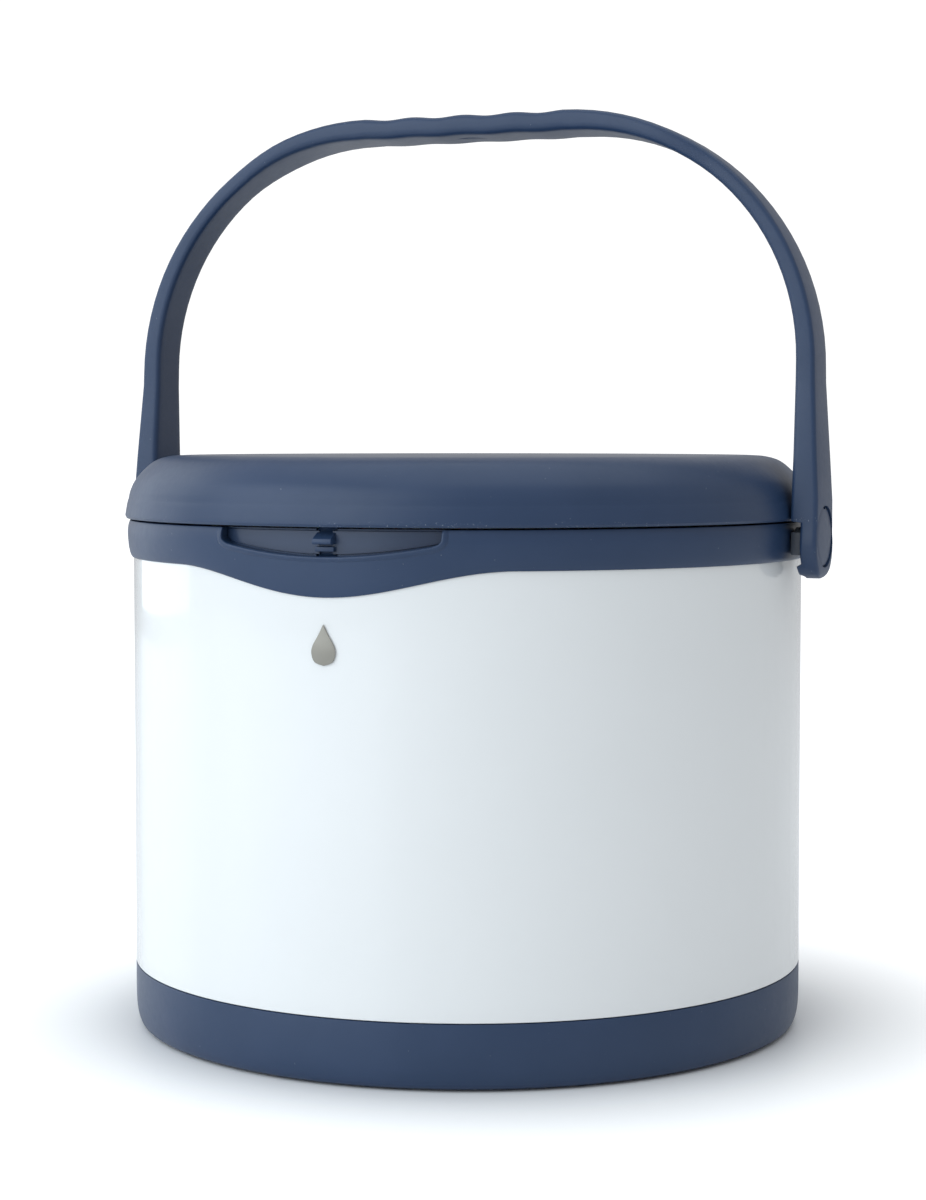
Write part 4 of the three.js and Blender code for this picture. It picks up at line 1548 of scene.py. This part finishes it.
    def _gate_pad(self) -> None:
        """The faint oval pad under the middle of the grip."""
        bm = bmesh.new()
        outline = [(0, 0.62), (0.8, 0.62), (0.95, 0.5), (1.0, 0)]
        added = spin_outline(bm, [*outline, (0, 0)], 40, closed=False)
        low = self.grip_low + self.wave * 0.5 - self.crown
        place = Matrix.Translation((0, 0, low + 0.25)) @ Matrix.Diagonal((9.5, 3.4, -0.8, 1))
        bmesh.ops.transform(bm, matrix=self.tilt() @ place, verts=added)
        self.shop.dress(finish_mesh("grip_pad", bm), Slot.BLUE, Body.HANDLE, "carry_handle")

    def _cap(self, name: str, side: int) -> None:
        """A pivot cap with a soft edge, a faint dome and a small pry notch.

        Args:
            name: left or right.
            side: -1 or 1 along X.
        """
        edge = self.cap_radius
        outline = [(0, 141.7), (edge - 0.3, 141.7), (edge, 142.0), (edge, 142.8), (edge - 0.15, 143.1)]
        outline += [(edge - 0.5, 143.28), (edge * 0.7, 143.45), (edge * 0.35, 143.57), (0, 143.6)]
        cap = turned(f"pivot_cap_{name}_domed", outline, self.tilt() @ along_x(0, 0, self.pivot_z, side), 72)
        x0, x1 = sorted((side * 142.6, side * 146))
        low = self.pivot_z + edge - 0.9
        notch = block("notch", Vector((x0, -1.1, low)), Vector((x1, 1.1, low + 3)), self.tilt())
        self.shop.dress(carve(cap, [notch]), Slot.BLUE, Body.HANDLE, f"pivot_cap_{name}")

    def _screw(self, name: str, side: int) -> None:
        """A shoulder screw on which the arm turns, with a slotted head.

        Args:
            name: left or right.
            side: -1 or 1 along X.
        """
        outline = [(0, 121), (1.2, 121), (1.7, 121.6), (1.7, 139.5), (4.2, 139.5), (4.2, 141.0), (3.9, 141.3)]
        outline.append((0, 141.3))
        screw = turned(f"pivot_screw_{name}_slotted", outline, along_x(0, 0, self.pivot_z, side))
        x0, x1 = sorted((side * 140.6, side * 142))
        slot = block("slot", Vector((x0, -5, self.pivot_z - 0.5)), Vector((x1, 5, self.pivot_z + 0.5)))
        self.shop.dress(carve(screw, [slot]), Slot.FASTENER, Body.ROOT, f"pivot_screw_{name}")

    def _washer(self, name: str, side: int) -> None:
        """The round washer between arm and collar, and the wide tongue that it sits in.

        Args:
            name: left or right.
            side: -1 or 1 along X.
        """
        node = f"hub_washer_{name}"
        place = self.tilt() @ along_x(0, 0, self.pivot_z, side)
        ring = bmesh.new()
        near, far = self.gap_inner, self.gap_outer
        outline = [(2.1, near), (3.1, near), (3.4, near + 0.3), (3.4, far - 0.3), (3.1, far), (2.1, far)]
        bmesh.ops.transform(ring, matrix=place, verts=spin_outline(ring, outline, 32))
        self.shop.dress(finish_mesh(f"{node}_ring", ring), Slot.DARK, Body.HANDLE, node)
        tongue = bmesh.new()
        x0, x1 = sorted((side * self.gap_inner, side * self.gap_outer))
        low, high = self.pivot_z - self.tongue_drop, self.pivot_z + self.tongue_rise
        add_block(tongue, Vector((x0, -self.tongue_half, low)), Vector((x1, self.tongue_half, high)), 0.6)
        bmesh.ops.transform(tongue, matrix=self.tilt(), verts=tongue.verts)
        bore = turned("bore", [(0, 131), (3.45, 131), (3.45, 138), (0, 138)], place)
        carved = carve(finish_mesh(f"{node}_tongue", tongue), [bore])
        self.shop.dress(carved, Slot.DARK, Body.HANDLE, node)


# ---- studio ---------------------------------------------------------------------------------------------------


@dataclass
class Studio:
    """Floor, soft light and camera."""

    azimuth: float = 22.55
    distance: float = 1.015
    height: float = 0.2274
    pitch: float = 2.986
    yaw: float = 0.101
    lens: float = 77.6
    shift: float = -0.0236
    # Painted light on the floor: for camera rays it glows, not at all within floor_fade's first distance of the centre
    # and fully beyond the second, so the real shadow shows only near the object; the slightly bluish floor_tone shows
    # where the glow is weak and tints that shadow blue.
    floor_tone: tuple[float, float, float] = (0.85, 0.865, 0.885)
    floor_fade: Point = (0.13, 0.27)
    painted_floor_glow: float = 0.7
    light_tone: tuple[float, float, float] = (0.86, 0.945, 1.0)
    surround: float = 0.56

    def build(self) -> None:
        """Sets up the studio."""
        self._camera()
        self._floor()
        self._world()
        self._light("key", (-1.0, -1.5, 1.0), (0, 0, 0.16), (2.4, 1.8), 26.5)
        self._light("edge", (-1.7, 0.35, 0.7), (0, 0, 0.16), (1.4, 1.4), 6.0)
        self._light("top", (0.1, 0.1, 2.2), (0, 0, 0), (2.4, 2.4), 16.0)

    def _camera(self) -> None:
        """The camera, level with the collar and a little to the right of the front."""
        around_z = math.radians(self.azimuth)
        data = bpy.data.cameras.new("camera")
        data.sensor_width = 36
        data.lens = self.lens
        data.shift_y = self.shift
        data.clip_end = 50
        camera = bpy.data.objects.new("camera", data)
        camera.location = (self.distance * math.sin(around_z), -self.distance * math.cos(around_z), self.height)
        turn = Matrix.Rotation(around_z + math.radians(self.yaw), 4, "Z")
        turn @= Matrix.Rotation(math.radians(90 - self.pitch), 4, "X")
        camera.rotation_euler = turn.to_euler()
        bpy.context.scene.collection.objects.link(camera)
        bpy.context.scene.camera = camera

    def _floor(self) -> None:
        """The pale floor, glowing with painted light for camera rays, more the further it lies from the object."""
        bm = bmesh.new()
        bmesh.ops.create_grid(bm, x_segments=1, y_segments=1, size=12)
        mesh = bpy.data.meshes.new("floor")
        bm.to_mesh(mesh)
        bm.free()
        floor = bpy.data.objects.new("floor", mesh)
        bpy.context.scene.collection.objects.link(floor)
        material = bpy.data.materials.new("floor_white")
        material.use_nodes = True
        shader = material.node_tree.nodes["Principled BSDF"]
        shader.inputs["Base Color"].default_value = (*self.floor_tone, 1)
        shader.inputs["Roughness"].default_value = 0.42
        shader.inputs["Specular IOR Level"].default_value = 0.3
        shader.inputs["Emission Color"].default_value = (1, 1, 1, 1)
        tree = material.node_tree
        # Painted light: emission seen only by camera rays, none near the object and rising with distance from its
        # centre.
        distance = tree.nodes.new("ShaderNodeVectorMath")
        distance.operation = "LENGTH"
        tree.links.new(tree.nodes.new("ShaderNodeTexCoord").outputs["Object"], distance.inputs[0])
        lift = spread(tree, distance.outputs["Value"], self.floor_fade, (0.0, self.painted_floor_glow))
        rays = tree.nodes.new("ShaderNodeLightPath")
        glow = maths(tree, "MULTIPLY", rays.outputs["Is Camera Ray"], lift)
        tree.links.new(glow, shader.inputs["Emission Strength"])
        mesh.materials.append(material)
        floor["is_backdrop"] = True

    def _world(self) -> None:
        """A white surround, seen at full strength and lighting the object more softly."""
        world = bpy.data.worlds.new("studio")
        bpy.context.scene.world = world
        world.use_nodes = True
        tree = world.node_tree
        back = tree.nodes["Background"]
        back.inputs["Color"].default_value = (1, 1, 1, 1)
        rays = tree.nodes.new("ShaderNodeLightPath")
        strength = spread(tree, rays.outputs["Is Camera Ray"], (0, 1), (self.surround, 1.1))
        tree.links.new(strength, back.inputs["Strength"])
        bpy.context.scene.view_settings.view_transform = "Standard"

    def _light(
        self, name: str, place: tuple[float, float, float], aim: tuple[float, float, float], size: Point, power: float
    ) -> None:
        """An oblong soft light.

        Args:
            name: The light's name.
            place: Where it hangs.
            aim: The point that it faces.
            size: Width and height.
            power: Watts.
        """
        data = bpy.data.lights.new(name, "AREA")
        data.shape = "RECTANGLE"
        data.size, data.size_y = size
        data.energy = power
        data.color = self.light_tone
        light = bpy.data.objects.new(name, data)
        light.location = place
        light.rotation_euler = (Vector(aim) - Vector(place)).to_track_quat("-Z", "Y").to_euler()
        bpy.context.scene.collection.objects.link(light)


def main() -> None:
    """Builds the object and the studio."""
    logging.basicConfig(level=logging.INFO, format="%(name)s %(message)s")
    shop = Workshop()
    shop.dress_nodes()
    parts: Sequence[Base | Vessel | Collar | Latch | Lid | CarryHandle] = (
        Base(shop), Vessel(shop), Collar(shop), Latch(shop), Lid(shop), CarryHandle(shop),
    )
    for assembly in parts:
        log.info("building %s", type(assembly).__name__)
        assembly.build()
    Studio().build()


if __name__ == "__main__":
    main()
